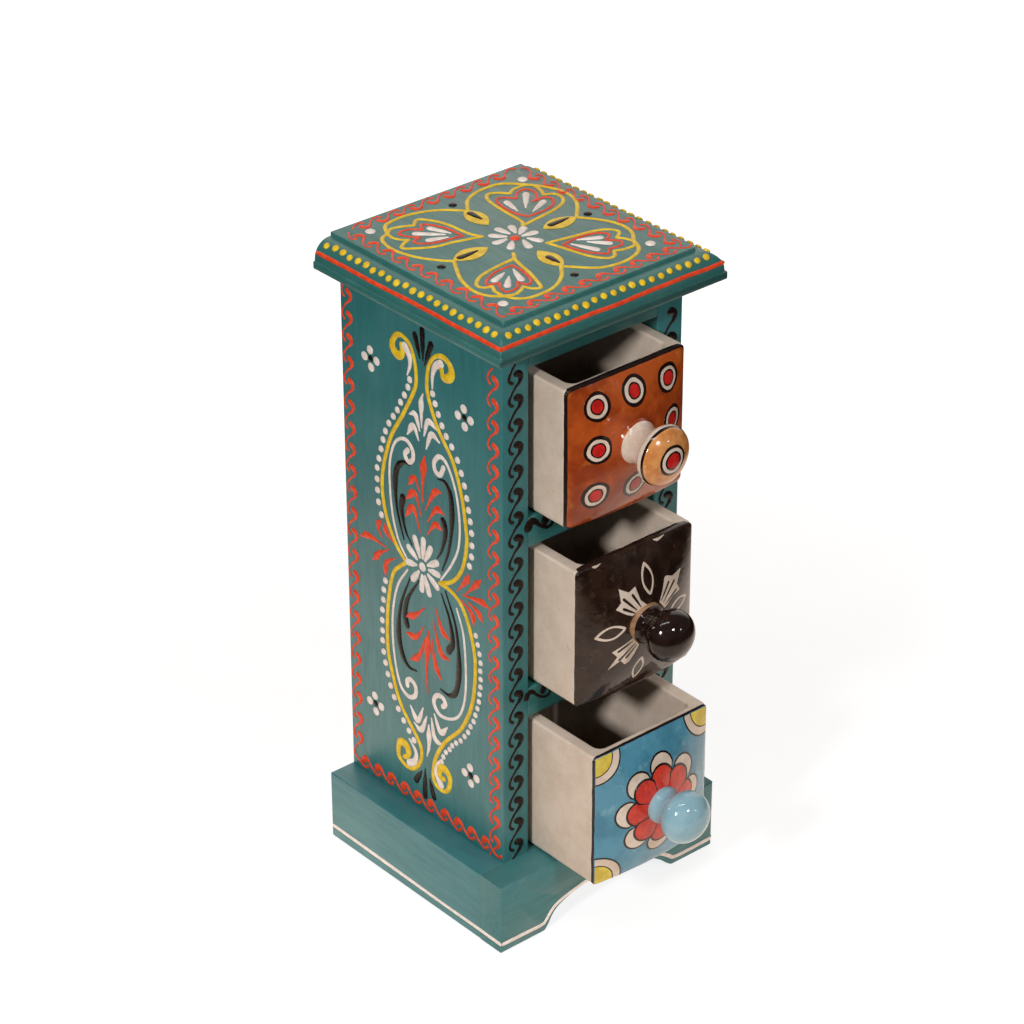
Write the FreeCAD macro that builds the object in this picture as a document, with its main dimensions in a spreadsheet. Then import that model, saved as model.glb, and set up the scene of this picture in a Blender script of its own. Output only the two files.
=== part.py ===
# Ceramic drawer tower: a painted wooden cabinet that holds three ceramic drawers.
# Lengths are in millimetres. X runs across the front, the drawers open towards -Y, and +Z is up.
# The origin is the centre of the cabinet body's footprint, on the surface that it stands on.
import FreeCAD, Part
import math
import os
import re

import Sketcher

Placement = FreeCAD.Placement
Rotation = FreeCAD.Rotation
Vector = FreeCAD.Vector

# Driving dimensions
SIZES = {
    # The body: boards of one thickness round three openings of one height
    "body_width": 100.4,
    "body_depth": 106.0,
    "board": 14.2,
    "opening_height": 71.1,
    "plinth_height": 34.8,
    "back_thickness": 5.0,
    # The cap: its lip stands out from the body, and a moulding runs round the front and the sides
    "cap_thickness": 14.3,
    "cap_side_overhang": 12.9,
    "cap_front_overhang": 14.2,
    "cap_back_overhang": 1.7,
    "lip_height": 3.5,
    "lip_step": 0.9,
    "lip_round": 1.0,
    "ovolo_radius": 8.0,
    "quirk_width": 0.8,
    "quirk_depth": 1.8,
    # The plinth: its front board overlaps the ends of its side boards and has a scallop cut by
    # hand, whose right shoulder is flatter than its left one
    "plinth_side_thickness": 13.4,
    "plinth_front_thickness": 14.1,
    "foot_width": 25.0,
    "left_shoulder_run": 6.2,
    "left_shoulder_height": 7.8,
    "right_shoulder_run": 9.3,
    "right_shoulder_height": 7.2,
    "shoulder_round": 4.0,
    "scallop_height": 15.2,
    # The drawers: boxes with a crowned face, open at the top. A shift is the share of the free
    # play that a drawer has moved to the right, and a pull is how far it stands open.
    "drawer_side_play": 5.5,
    "drawer_back_gap": 0.3,
    "drawer_lift": 0.3,
    "top_headroom": 5.6,
    "middle_headroom": 3.6,
    "bottom_headroom": 3.9,
    "top_pull": 17.8,
    "middle_pull": 24.9,
    "bottom_pull": 38.6,
    "top_shift": 0.65,
    "middle_shift": 0.86,
    "bottom_shift": 0.36,
    "drawer_wall": 6.3,
    "drawer_front_wall": 3.6,
    "drawer_back_wall": 6.0,
    "drawer_floor": 6.0,
    "crown": 8.5,
    "crown_foot": 2.5,
    "drawer_corner": 2.5,
    "cavity_corner": 4.0,
    "rim_round": 1.2,
    # The knobs: a reach is counted forwards from the drawer's rim, and a rise up from the
    # middle of its face
    "top_knob_rise": 1.0,
    "middle_knob_rise": 0.5,
    "bottom_knob_rise": 0.2,
    "domed_knob_foot": 11.5,
    "domed_knob_foot_reach": 6.0,
    "domed_knob_waist": 8.6,
    "domed_knob_waist_reach": 13.0,
    "domed_knob_collar": 13.4,
    "domed_knob_collar_reach": 22.6,
    "domed_knob_collar_width": 2.4,
    "domed_knob_dome": 5.2,
    "ball_knob_neck": 8.6,
    "ball_knob_reach": 23.0,
    "ball_knob_half_length": 9.2,
    "middle_knob_ball": 11.9,
    "middle_knob_ring": 9.9,
    "middle_knob_ring_reach": 9.5,
    "middle_knob_ring_bead": 1.6,
    "bottom_knob_ball": 12.1,
    "bottom_knob_ring": 9.7,
    "bottom_knob_ring_reach": 9.5,
    "bottom_knob_ring_bead": 1.6,
    # The nails, flush under the paint, and the back panel's tacks, whose heads stand proud
    "nail_radius": 0.7,
    "nail_length": 22.0,
    "nail_head_radius": 1.4,
    "nail_head_thickness": 0.8,
    "nail_point": 1.8,
    "nail_inset": 20.0,
    "cap_nail_x": 22.0,
    "plinth_nail_x": 15.0,
    "plinth_nail_z": 12.0,
    "tack_radius": 0.6,
    "tack_length": 12.0,
    "tack_head_radius": 1.5,
    "tack_head_thickness": 0.5,
    "tack_point": 1.2,
    "tack_x": 24.0,
}

# Sizes and places that follow from the driving dimensions
DERIVED = {
    "half_width": "body_width / 2",
    "half_depth": "body_depth / 2",
    "inner_half_width": "half_width - board",
    "opening_width": "inner_half_width * 2",
    "storey": "opening_height + board",
    "board_depth": "body_depth - back_thickness",
    "board_back": "half_depth - back_thickness",
    "body_top": "plinth_height + storey * 3",
    "lowest_board": "plinth_height - board",
    "cap_half_width": "half_width + cap_side_overhang",
    "cap_front": "half_depth + cap_front_overhang",
    "cap_back": "half_depth + cap_back_overhang",
    "ovolo_level": "cap_thickness - quirk_depth - ovolo_radius",
    "quirk_level": "cap_thickness - quirk_depth",
    "plinth_half_width": "half_width + plinth_side_thickness",
    "plinth_front": "half_depth + plinth_front_thickness",
    "plinth_end_centre": "half_width + plinth_side_thickness / 2",
    "foot_end": "plinth_half_width - foot_width",
    "left_shoulder": "foot_end - left_shoulder_run",
    "right_shoulder": "foot_end - right_shoulder_run",
    "scallop_half_span": "(left_shoulder + right_shoulder) / 2",
    "scallop_rise": "scallop_height - (left_shoulder_height + right_shoulder_height) / 2",
    "drawer_width": "opening_width - drawer_side_play",
    "drawer_depth": "board_depth - drawer_back_gap",
    "nail_front": "nail_inset - half_depth",
    "nail_back": "board_back - nail_inset",
    "waist_rise": "domed_knob_foot - domed_knob_waist",
    "waist_run": "domed_knob_waist_reach - domed_knob_foot_reach",
    "collar_rise": "domed_knob_collar - domed_knob_waist",
    "collar_run": "domed_knob_collar_reach - domed_knob_waist_reach",
    "collar_front": "domed_knob_collar_reach + domed_knob_collar_width",
}

# Ways that a nail or a knob points: the turn that brings +Z there
TO_RIGHT = (Vector(0, 1, 0), 90)
TO_LEFT = (Vector(0, 1, 0), -90)
TO_FRONT = (Vector(1, 0, 0), 90)
TO_BACK = (Vector(1, 0, 0), -90)
UPWARDS = (Vector(0, 0, 1), 0)

doc = FreeCAD.newDocument("ceramic_drawer_tower")
sheet = doc.addObject("Spreadsheet::Sheet", "Sizes")
for row, (alias, size) in enumerate(SIZES.items(), start=1):
    sheet.set(f"A{row}", alias)
    sheet.set(f"B{row}", str(size))
    sheet.setAlias(f"B{row}", alias)
doc.recompute()

subparts = []


# Formulas and objects


def formula(text):
    """The text with derived names written out and each size pointing at its cell."""

    def written_out(match):
        word = match.group(0)
        if word in DERIVED:
            return f"({formula(DERIVED[word])})"
        return f"Sizes.{word}" if word in SIZES else word

    return re.sub(r"[a-z][a-z_]+", written_out, str(text))


def value(text):
    """The number that a formula gives."""
    return float(sheet.evalExpression(formula(text)))


def bind(item, **sizes):
    """Ties properties of an object to formulas; x, y and z are its place."""
    for name, text in sizes.items():
        path = f"Placement.Base.{name}" if name in ("x", "y", "z") else name
        item.setExpression(path, formula(text))
    return item


def primitive(kind, name, way=UPWARDS, **sizes):
    """A Part primitive, turned a way, with its sizes and place tied to formulas."""
    item = doc.addObject(f"Part::{kind}", name)
    item.Placement = Placement(Vector(), Rotation(*way))
    return bind(item, **sizes)


def fused(name, pieces):
    """Pieces joined where they meet, as one object."""
    group = doc.addObject("Part::MultiFuse", name)
    group.Shapes = pieces
    return group


def drilled(base, *tools):
    """The base with each tool taken out of it."""
    for number, tool in enumerate(tools, start=1):
        result = doc.addObject("Part::Cut", f"{base.Name}_less_{number}")
        result.Base = base
        result.Tool = tool
        base = result
    return base


def publish(item, label):
    """Keeps an object as a finished sub-part with a label of its own."""
    item.Label = label
    subparts.append(item)
    return item


# Sketches


def sketch_on(body, role, name):
    """A sketch on one of the body's own origin planes."""
    sketch = body.newObject("Sketcher::SketchObject", name)
    plane = next(item for item in body.Origin.OriginFeatures if item.Role == role)
    sketch.AttachmentSupport = [(plane, "")]
    sketch.MapMode = "FlatFace"
    return sketch


def hold(sketch, kind, references, text):
    """A dimension of a sketch, tied to a formula."""
    number = sketch.addConstraint(Sketcher.Constraint(kind, *references, value(text)))
    sketch.setExpression(f"Constraints[{number}]", formula(text))


def arc_between(start, end, radius, turning):
    """The arc of under half a turn between two points; turning is 1 if it runs anticlockwise."""
    chord = end - start
    left = Vector(-chord.y, chord.x, 0).normalize()
    offset = math.sqrt(radius**2 - chord.Length**2 / 4)
    centre = (start + end) * 0.5 + left * (turning * offset)
    angles = [math.atan2(place.y - centre.y, place.x - centre.x) for place in (start, end)]
    return Part.ArcOfCircle(Part.Circle(centre, Vector(0, 0, 1), radius), *angles[::turning])


def outline(sketch, start, *steps):
    """A closed outline of lines and arcs through places that are pairs of formulas. A step is an
    end for a line, or an end, a radius and a turning for an arc."""

    def point(place):
        return Vector(value(place[0]), value(place[1]), 0)

    here = start
    first = last = None
    for end, *bend in steps:
        if bend:
            radius, turning = bend
            curve = arc_between(point(here), point(end), value(radius), turning)
            number = sketch.addGeometry(curve)
            hold(sketch, "Radius", (number,), radius)
        else:
            turning = 1
            number = sketch.addGeometry(Part.LineSegment(point(here), point(end)))
        head, tail = (1, 2)[::turning]
        hold(sketch, "DistanceX", (-1, 1, number, head), here[0])
        hold(sketch, "DistanceY", (-1, 1, number, head), here[1])
        if last:
            sketch.addConstraint(Sketcher.Constraint("Coincident", *last, number, head))
        first = first or (number, head)
        last = (number, tail)
        here = end
    sketch.addConstraint(Sketcher.Constraint("Coincident", *last, *first))


def pad(body, sketch, length, name):
    """The sketch thickened along its plane's normal."""
    feature = body.newObject("PartDesign::Pad", name)
    feature.Profile = sketch
    bind(feature, Length=length)
    doc.recompute()
    return feature


def pocket(body, sketch, name):
    """The sketch cut through the whole body, both ways, and seen to take material away."""
    before = body.Shape.Volume
    feature = body.newObject("PartDesign::Pocket", name)
    feature.Profile = sketch
    feature.Type = "ThroughAll"
    feature.SideType = "Symmetric"
    doc.recompute()
    if not body.Shape.Volume < before:
        raise RuntimeError(f"{name} cuts nothing")
    return feature


def round_edges(body, chosen, radius, name):
    """A fillet on the edges of the body's tip that are chosen by their midpoint and direction."""
    tip = body.Tip
    names = []
    for number, edge in enumerate(tip.Shape.Edges, start=1):
        middle = edge.valueAt((edge.FirstParameter + edge.LastParameter) / 2)
        along = edge.tangentAt(edge.FirstParameter)
        if chosen(middle, along):
            names.append(f"Edge{number}")
    feature = body.newObject("PartDesign::Fillet", name)
    feature.Base = (tip, names)
    bind(feature, Radius=radius)
    doc.recompute()
    return feature


# Nails


def nail_group(kind, places, label):
    """Nails of one kind. A place is the outer face of a nail's head and the way it is driven."""
    pieces = []
    shank_length = f"({kind}_length - {kind}_point)"
    for number, (x, y, z, way) in enumerate(places, start=1):
        heading = Rotation(*way).multVec(Vector(0, 0, 1))

        def driven(distance):
            return {
                axis: f"{text} + {round(part)} * {distance}"
                for axis, text, part in zip("xyz", (x, y, z), heading)
            }

        name = f"{label}_{number}"
        head = dict(Radius=f"{kind}_head_radius", Height=f"{kind}_head_thickness", **driven("0"))
        shank = dict(Radius=f"{kind}_radius", Height=shank_length, **driven("0"))
        point = dict(Radius1=f"{kind}_radius", Radius2="0", Height=f"{kind}_point")
        point.update(driven(shank_length))
        pieces.append(primitive("Cylinder", f"{name}_head", way, **head))
        pieces.append(primitive("Cylinder", f"{name}_shank", way, **shank))
        pieces.append(primitive("Cone", f"{name}_point", way, **point))
    return publish(fused(label, pieces), label)


board_levels = [f"lowest_board + board / 2 + storey * {number}" for number in range(4)]

carcass_nails = nail_group(
    "nail",
    [
        (f"{side} * half_width", place, level, way)
        for side, way in ((-1, TO_RIGHT), (1, TO_LEFT))
        for level in board_levels
        for place in ("nail_front", "nail_back")
    ],
    "carcass_nails",
)

cap_nails = nail_group(
    "nail",
    [
        (f"{side} * cap_nail_x", place, "body_top - board", UPWARDS)
        for side in (-1, 1)
        for place in ("nail_front", "nail_back")
    ],
    "cap_nails",
)

plinth_nails = nail_group(
    "nail",
    [
        (f"{side} * plinth_half_width", place, "plinth_nail_z", way)
        for side, way in ((-1, TO_RIGHT), (1, TO_LEFT))
        for place in ("nail_front", "nail_back")
    ]
    + [
        (f"{side} * plinth_end_centre", "-plinth_front", "plinth_height / 2", TO_BACK)
        for side in (-1, 1)
    ]
    + [
        (f"{side} * plinth_nail_x", "-plinth_front", board_levels[0], TO_BACK)
        for side in (-1, 1)
    ],
    "plinth_nails",
)

back_panel_tacks = nail_group(
    "tack",
    [
        (f"{side} * tack_x", "half_depth + tack_head_thickness", level, TO_FRONT)
        for side in (-1, 1)
        for level in board_levels
    ],
    "back_panel_tacks",
)


# The carcass: two side panels that run down to the floor, and four boards between them

for side_name, left_edge in (("left", "-half_width"), ("right", "inner_half_width")):
    panel = primitive(
        "Box",
        f"{side_name}_side_blank",
        Length="board",
        Width="body_depth",
        Height="body_top",
        x=left_edge,
        y="-half_depth",
    )
    publish(drilled(panel, carcass_nails, plinth_nails), f"side_panel_{side_name}")

board_tools = {
    "bottom_board": (carcass_nails, plinth_nails, back_panel_tacks),
    "shelf_lower": (carcass_nails, back_panel_tacks),
    "shelf_upper": (carcass_nails, back_panel_tacks),
    "top_board": (carcass_nails, cap_nails, back_panel_tacks),
}
for number, (label, tools) in enumerate(board_tools.items()):
    shelf = primitive(
        "Box",
        f"{label}_blank",
        Length="opening_width",
        Width="board_depth",
        Height="board",
        x="-inner_half_width",
        y="-half_depth",
        z=f"lowest_board + storey * {number}",
    )
    publish(drilled(shelf, *tools), label)

back = primitive(
    "Box",
    "back_blank",
    Length="opening_width",
    Width="back_thickness",
    Height="body_top - lowest_board",
    x="-inner_half_width",
    y="board_back",
    z="lowest_board",
)
publish(drilled(back, back_panel_tacks), "back_panel")


# The cap: a board whose moulding is cut along both sides and the front, mitred at the corners


def moulding_offcut(sketch, edge, inwards):
    """What the moulding leaves out, from the lip's upper face to the top of the board."""

    def across(distance):
        return f"{inwards} * ({distance} - {edge})"

    outline(
        sketch,
        (across("0"), "lip_height"),
        ((across("lip_step"), "lip_height"),),
        ((across("lip_step"), "ovolo_level"),),
        ((across("lip_step + ovolo_radius"), "quirk_level"), "ovolo_radius", -inwards),
        ((across("lip_step + ovolo_radius + quirk_width"), "quirk_level"),),
        ((across("lip_step + ovolo_radius + quirk_width"), "cap_thickness"),),
        ((across("0"), "cap_thickness"),),
        ((across("0"), "lip_height"),),
    )


cap = doc.addObject("PartDesign::Body", "cap_body")
bind(cap, z="body_top")
cap_plan = sketch_on(cap, "XY_Plane", "cap_plan")
outline(
    cap_plan,
    ("-cap_half_width", "-cap_front"),
    (("cap_half_width", "-cap_front"),),
    (("cap_half_width", "cap_back"),),
    (("-cap_half_width", "cap_back"),),
    (("-cap_half_width", "-cap_front"),),
)
pad(cap, cap_plan, "cap_thickness", "cap_slab")
side_moulding = sketch_on(cap, "XZ_Plane", "side_moulding")
moulding_offcut(side_moulding, "cap_half_width", 1)
moulding_offcut(side_moulding, "cap_half_width", -1)
pocket(cap, side_moulding, "side_moulding_cut")
front_moulding = sketch_on(cap, "YZ_Plane", "front_moulding")
moulding_offcut(front_moulding, "cap_front", 1)
pocket(cap, front_moulding, "front_moulding_cut")
round_edges(
    cap,
    lambda middle, along: abs(middle.z) < 0.01 and middle.y < value("cap_back") - 1,
    "lip_round",
    "lip_rounding",
)
publish(drilled(cap, cap_nails), "cap_board")


# The plinth: a scalloped front board over the ends of two side boards

plinth_board = doc.addObject("PartDesign::Body", "plinth_body")
bind(plinth_board, y="-half_depth")
plinth_outline = sketch_on(plinth_board, "XZ_Plane", "plinth_outline")
scallop_radius = "(scallop_half_span^2 + scallop_rise^2) / (2 * scallop_rise)"
outline(
    plinth_outline,
    ("-plinth_half_width", "0"),
    (("-foot_end", "0"),),
    (("-left_shoulder", "left_shoulder_height"),),
    (("right_shoulder", "right_shoulder_height"), scallop_radius, -1),
    (("foot_end", "0"),),
    (("plinth_half_width", "0"),),
    (("plinth_half_width", "plinth_height"),),
    (("-plinth_half_width", "plinth_height"),),
    (("-plinth_half_width", "0"),),
)
pad(plinth_board, plinth_outline, "plinth_front_thickness", "plinth_board_pad")
shoulder_levels = [value(f"{side}_shoulder_height") for side in ("left", "right")]
round_edges(
    plinth_board,
    lambda middle, along: abs(along.y) > 0.99
    and any(abs(middle.z - level) < 0.01 for level in shoulder_levels),
    "shoulder_round",
    "shoulder_rounding",
)
publish(drilled(plinth_board, plinth_nails), "plinth_front")

for side_name, left_edge in (("left", "-plinth_half_width"), ("right", "half_width")):
    plinth_side = primitive(
        "Box",
        f"plinth_{side_name}_blank",
        Length="plinth_side_thickness",
        Width="body_depth",
        Height="plinth_height",
        x=left_edge,
        y="-half_depth",
    )
    publish(drilled(plinth_side, plinth_nails), f"plinth_{side_name}")


# The drawers: each in its own frame, with the rim's front at y = 0 and the underside at z = 0


def edges_where(shape, chosen):
    """The edges of a shape whose two ends and middle are all chosen."""
    found = []
    for edge in shape.Edges:
        places = [vertex.Point for vertex in edge.Vertexes]
        places.append(edge.valueAt((edge.FirstParameter + edge.LastParameter) / 2))
        if all(chosen(place) for place in places):
            found.append(edge)
    return found


def crowned_blank(height):
    """A closed drawer whose face bows out from the rim, most in its middle, with round edges."""
    width = value("drawer_width")
    depth = value("drawer_depth")
    crown = value("crown")
    foot_bow = 2 * value("crown_foot")
    middle_bow = 4 * crown - foot_bow / 2
    face = Part.BezierSurface()
    face.increase(2, 2)
    for row, (z, bow) in enumerate(((height, 0), (height / 2, middle_bow), (0, foot_bow)), 1):
        face.setPole(1, row, Vector(-width / 2, 0, z))
        face.setPole(2, row, Vector(0, -bow, z))
        face.setPole(3, row, Vector(width / 2, 0, z))
    room = Part.makeBox(
        width * 2, depth + crown * 2, height * 2, Vector(-width, -crown * 2, -height / 2)
    )
    solid = face.toShape().extrude(Vector(0, depth + crown * 2, 0)).common(room)
    below = [edge for edge in solid.Edges if any(v.Z < 0.01 for v in edge.Vertexes)]
    return solid.makeFillet(value("drawer_corner"), below)


def hollowed(blank, height):
    """The blank with its cavity, and with a rounded rim."""
    width = value("drawer_width - drawer_wall * 2")
    depth = value("drawer_depth - drawer_front_wall - drawer_back_wall")
    floor = value("drawer_floor")
    start = Vector(-width / 2, value("drawer_front_wall"), floor)
    cavity = Part.makeBox(width, depth, height, start)
    lower = [edge for edge in cavity.Edges if any(v.Z < floor + 0.01 for v in edge.Vertexes)]
    box = blank.cut(cavity.makeFillet(value("cavity_corner"), lower))
    rim = edges_where(box, lambda place: place.z > height - 0.01)
    return box.makeFillet(value("rim_round"), rim)


def domed_knob(name):
    """A turned knob with a waisted neck, a collar and a shallow dome. It points to the front."""
    body = doc.addObject("PartDesign::Body", f"{name}_knob_turned")
    body.Placement = Placement(Vector(), Rotation(Vector(0, 0, 1), 180))
    profile = sketch_on(body, "XY_Plane", f"{name}_knob_profile")
    dome_radius = "(domed_knob_collar^2 + domed_knob_dome^2) / (2 * domed_knob_dome)"
    outline(
        profile,
        ("0", "0"),
        (("domed_knob_foot", "0"),),
        (("domed_knob_foot", "domed_knob_foot_reach"),),
        (
            ("domed_knob_waist", "domed_knob_waist_reach"),
            "(waist_run^2 + waist_rise^2) / (2 * waist_rise)",
            -1,
        ),
        (
            ("domed_knob_collar", "domed_knob_collar_reach"),
            "(collar_run^2 + collar_rise^2) / (2 * collar_rise)",
            -1,
        ),
        (("domed_knob_collar", "collar_front"),),
        (("0", "collar_front + domed_knob_dome"), dome_radius, 1),
        (("0", "0"),),
    )
    turned = body.newObject("PartDesign::Revolution", f"{name}_knob_revolved")
    turned.Profile = profile
    turned.ReferenceAxis = (profile, ["V_Axis"])
    turned.Angle = 360
    doc.recompute()
    return body


def ball_knob(name):
    """A ball on a short neck, with a ring round the neck's foot. It points to the front."""
    neck = primitive(
        "Cylinder",
        f"{name}_knob_neck",
        TO_FRONT,
        Radius="ball_knob_neck",
        Height="ball_knob_reach",
    )
    ring = primitive(
        "Torus",
        f"{name}_knob_ring",
        TO_FRONT,
        Radius1=f"{name}_knob_ring - {name}_knob_ring_bead",
        Radius2=f"{name}_knob_ring_bead",
        y=f"-{name}_knob_ring_reach",
    )
    ball = primitive(
        "Ellipsoid",
        f"{name}_knob_ball",
        TO_FRONT,
        Radius1="ball_knob_half_length",
        Radius2=f"{name}_knob_ball",
        Radius3=f"{name}_knob_ball",
        y="-ball_knob_reach",
    )
    return fused(f"{name}_knob_whole", [neck, ring, ball])


knob_forms = {"bottom": ball_knob, "middle": ball_knob, "top": domed_knob}
for number, (name, knob_form) in enumerate(knob_forms.items()):
    centre = f"{name}_shift * drawer_side_play / 2"
    rim_front = f"-half_depth - {name}_pull"
    underside = f"plinth_height + storey * {number} + drawer_lift"
    height = f"opening_height - {name}_headroom - drawer_lift"
    place = Placement(Vector(value(centre), value(rim_front), value(underside)), Rotation())

    blank = doc.addObject("Part::Feature", f"{name}_drawer_blank")
    blank.Shape = crowned_blank(value(height))
    box = doc.addObject("Part::Feature", f"{name}_drawer")
    box.Shape = hollowed(blank.Shape, value(height))
    blank.Placement = place
    box.Placement = place
    publish(box, f"drawer_{name}_box")

    knob = knob_form(name)
    bind(knob, x=centre, y=rim_front, z=f"{underside} + ({height}) / 2 + {name}_knob_rise")
    publish(drilled(knob, blank), f"drawer_{name}_knob")


# Every object and sub-part is seen to be sound before anything is written

doc.recompute()
for item in doc.Objects:
    if {"Invalid", "Error"} & set(item.State):
        raise RuntimeError(f"{item.Name} is {item.State}")
for item in subparts:
    if item.Shape.isNull() or not item.Shape.isValid():
        raise RuntimeError(f"{item.Label} is not a valid shape")

os.makedirs("parts", exist_ok=True)
for item in subparts:
    item.Shape.exportStep(f"parts/{item.Label}.step")
    box = item.Shape.BoundBox
    low = f"{box.XMin:.1f} {box.YMin:.1f} {box.ZMin:.1f}"
    high = f"{box.XMax:.1f} {box.YMax:.1f} {box.ZMax:.1f}"
    print(f"{item.Label}: {len(item.Shape.Solids)} solids, {item.Shape.Volume:.0f} mm3, {low} to {high}")
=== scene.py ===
"""Looks of the ceramic drawer tower: painted wood, raised cone-paint ornament and glazed drawers.

All lengths in this script are millimetres in the CAD frame, and `metres` turns them into Blender's.
"""

import logging
import math
import random
from collections.abc import Sequence
from dataclasses import dataclass, field
from enum import Enum

import bmesh
import bpy
from mathutils import Matrix, Vector, noise
from mathutils.geometry import delaunay_2d_cdt


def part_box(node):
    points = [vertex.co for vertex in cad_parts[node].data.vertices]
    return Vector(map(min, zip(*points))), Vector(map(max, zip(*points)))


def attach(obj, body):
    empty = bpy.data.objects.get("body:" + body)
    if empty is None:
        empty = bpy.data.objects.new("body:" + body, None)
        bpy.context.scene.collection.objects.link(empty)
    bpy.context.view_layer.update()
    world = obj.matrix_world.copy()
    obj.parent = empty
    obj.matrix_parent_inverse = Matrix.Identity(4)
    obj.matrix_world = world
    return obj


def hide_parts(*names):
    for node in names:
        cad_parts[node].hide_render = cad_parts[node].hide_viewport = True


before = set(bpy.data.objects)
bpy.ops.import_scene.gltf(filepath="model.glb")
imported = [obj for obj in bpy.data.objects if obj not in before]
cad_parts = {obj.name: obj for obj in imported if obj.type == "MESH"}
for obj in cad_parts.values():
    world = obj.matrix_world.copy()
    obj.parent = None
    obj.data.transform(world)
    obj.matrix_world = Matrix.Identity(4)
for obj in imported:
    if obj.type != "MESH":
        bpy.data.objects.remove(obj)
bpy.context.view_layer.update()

log = logging.getLogger("tower")

Point = tuple[float, float]
Triple = tuple[float, float, float]
Face = tuple[int, ...]
Material = bpy.types.Material
Socket = bpy.types.NodeSocket
Feed = Socket | float
MM = 0.001

# How thick the coat on the wood is, and how far cut points may sink into what they lie on
COAT = 0.15
SUNK = -0.06


class Body(Enum):
    """The bodies of the frame that a piece can ride on."""

    CABINET = "cabinet"
    TOP = "drawer_top"
    MIDDLE = "drawer_middle"
    BOTTOM = "drawer_bottom"


class Colour(Enum):
    """The colours of the cone paint."""

    RED = "red"
    YELLOW = "yellow"
    WHITE = "white"
    BLACK = "black"


def metres(point: Sequence[float]) -> Vector:
    """Turn a point in millimetres into Blender's metres."""
    return Vector(point) * MM


def linear(colour: str) -> tuple[float, float, float, float]:
    """Turn an sRGB hex colour into linear light.

    Args:
        colour: The colour as "#RRGGBB".

    Returns:
        Red, green, blue and an alpha of 1, for a colour socket.
    """
    parts = [int(colour[i:i + 2], 16) / 255 for i in (1, 3, 5)]
    light = [p / 12.92 if p <= 0.04045 else ((p + 0.055) / 1.055) ** 2.4 for p in parts]
    return (light[0], light[1], light[2], 1.0)


# Shader writing


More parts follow.
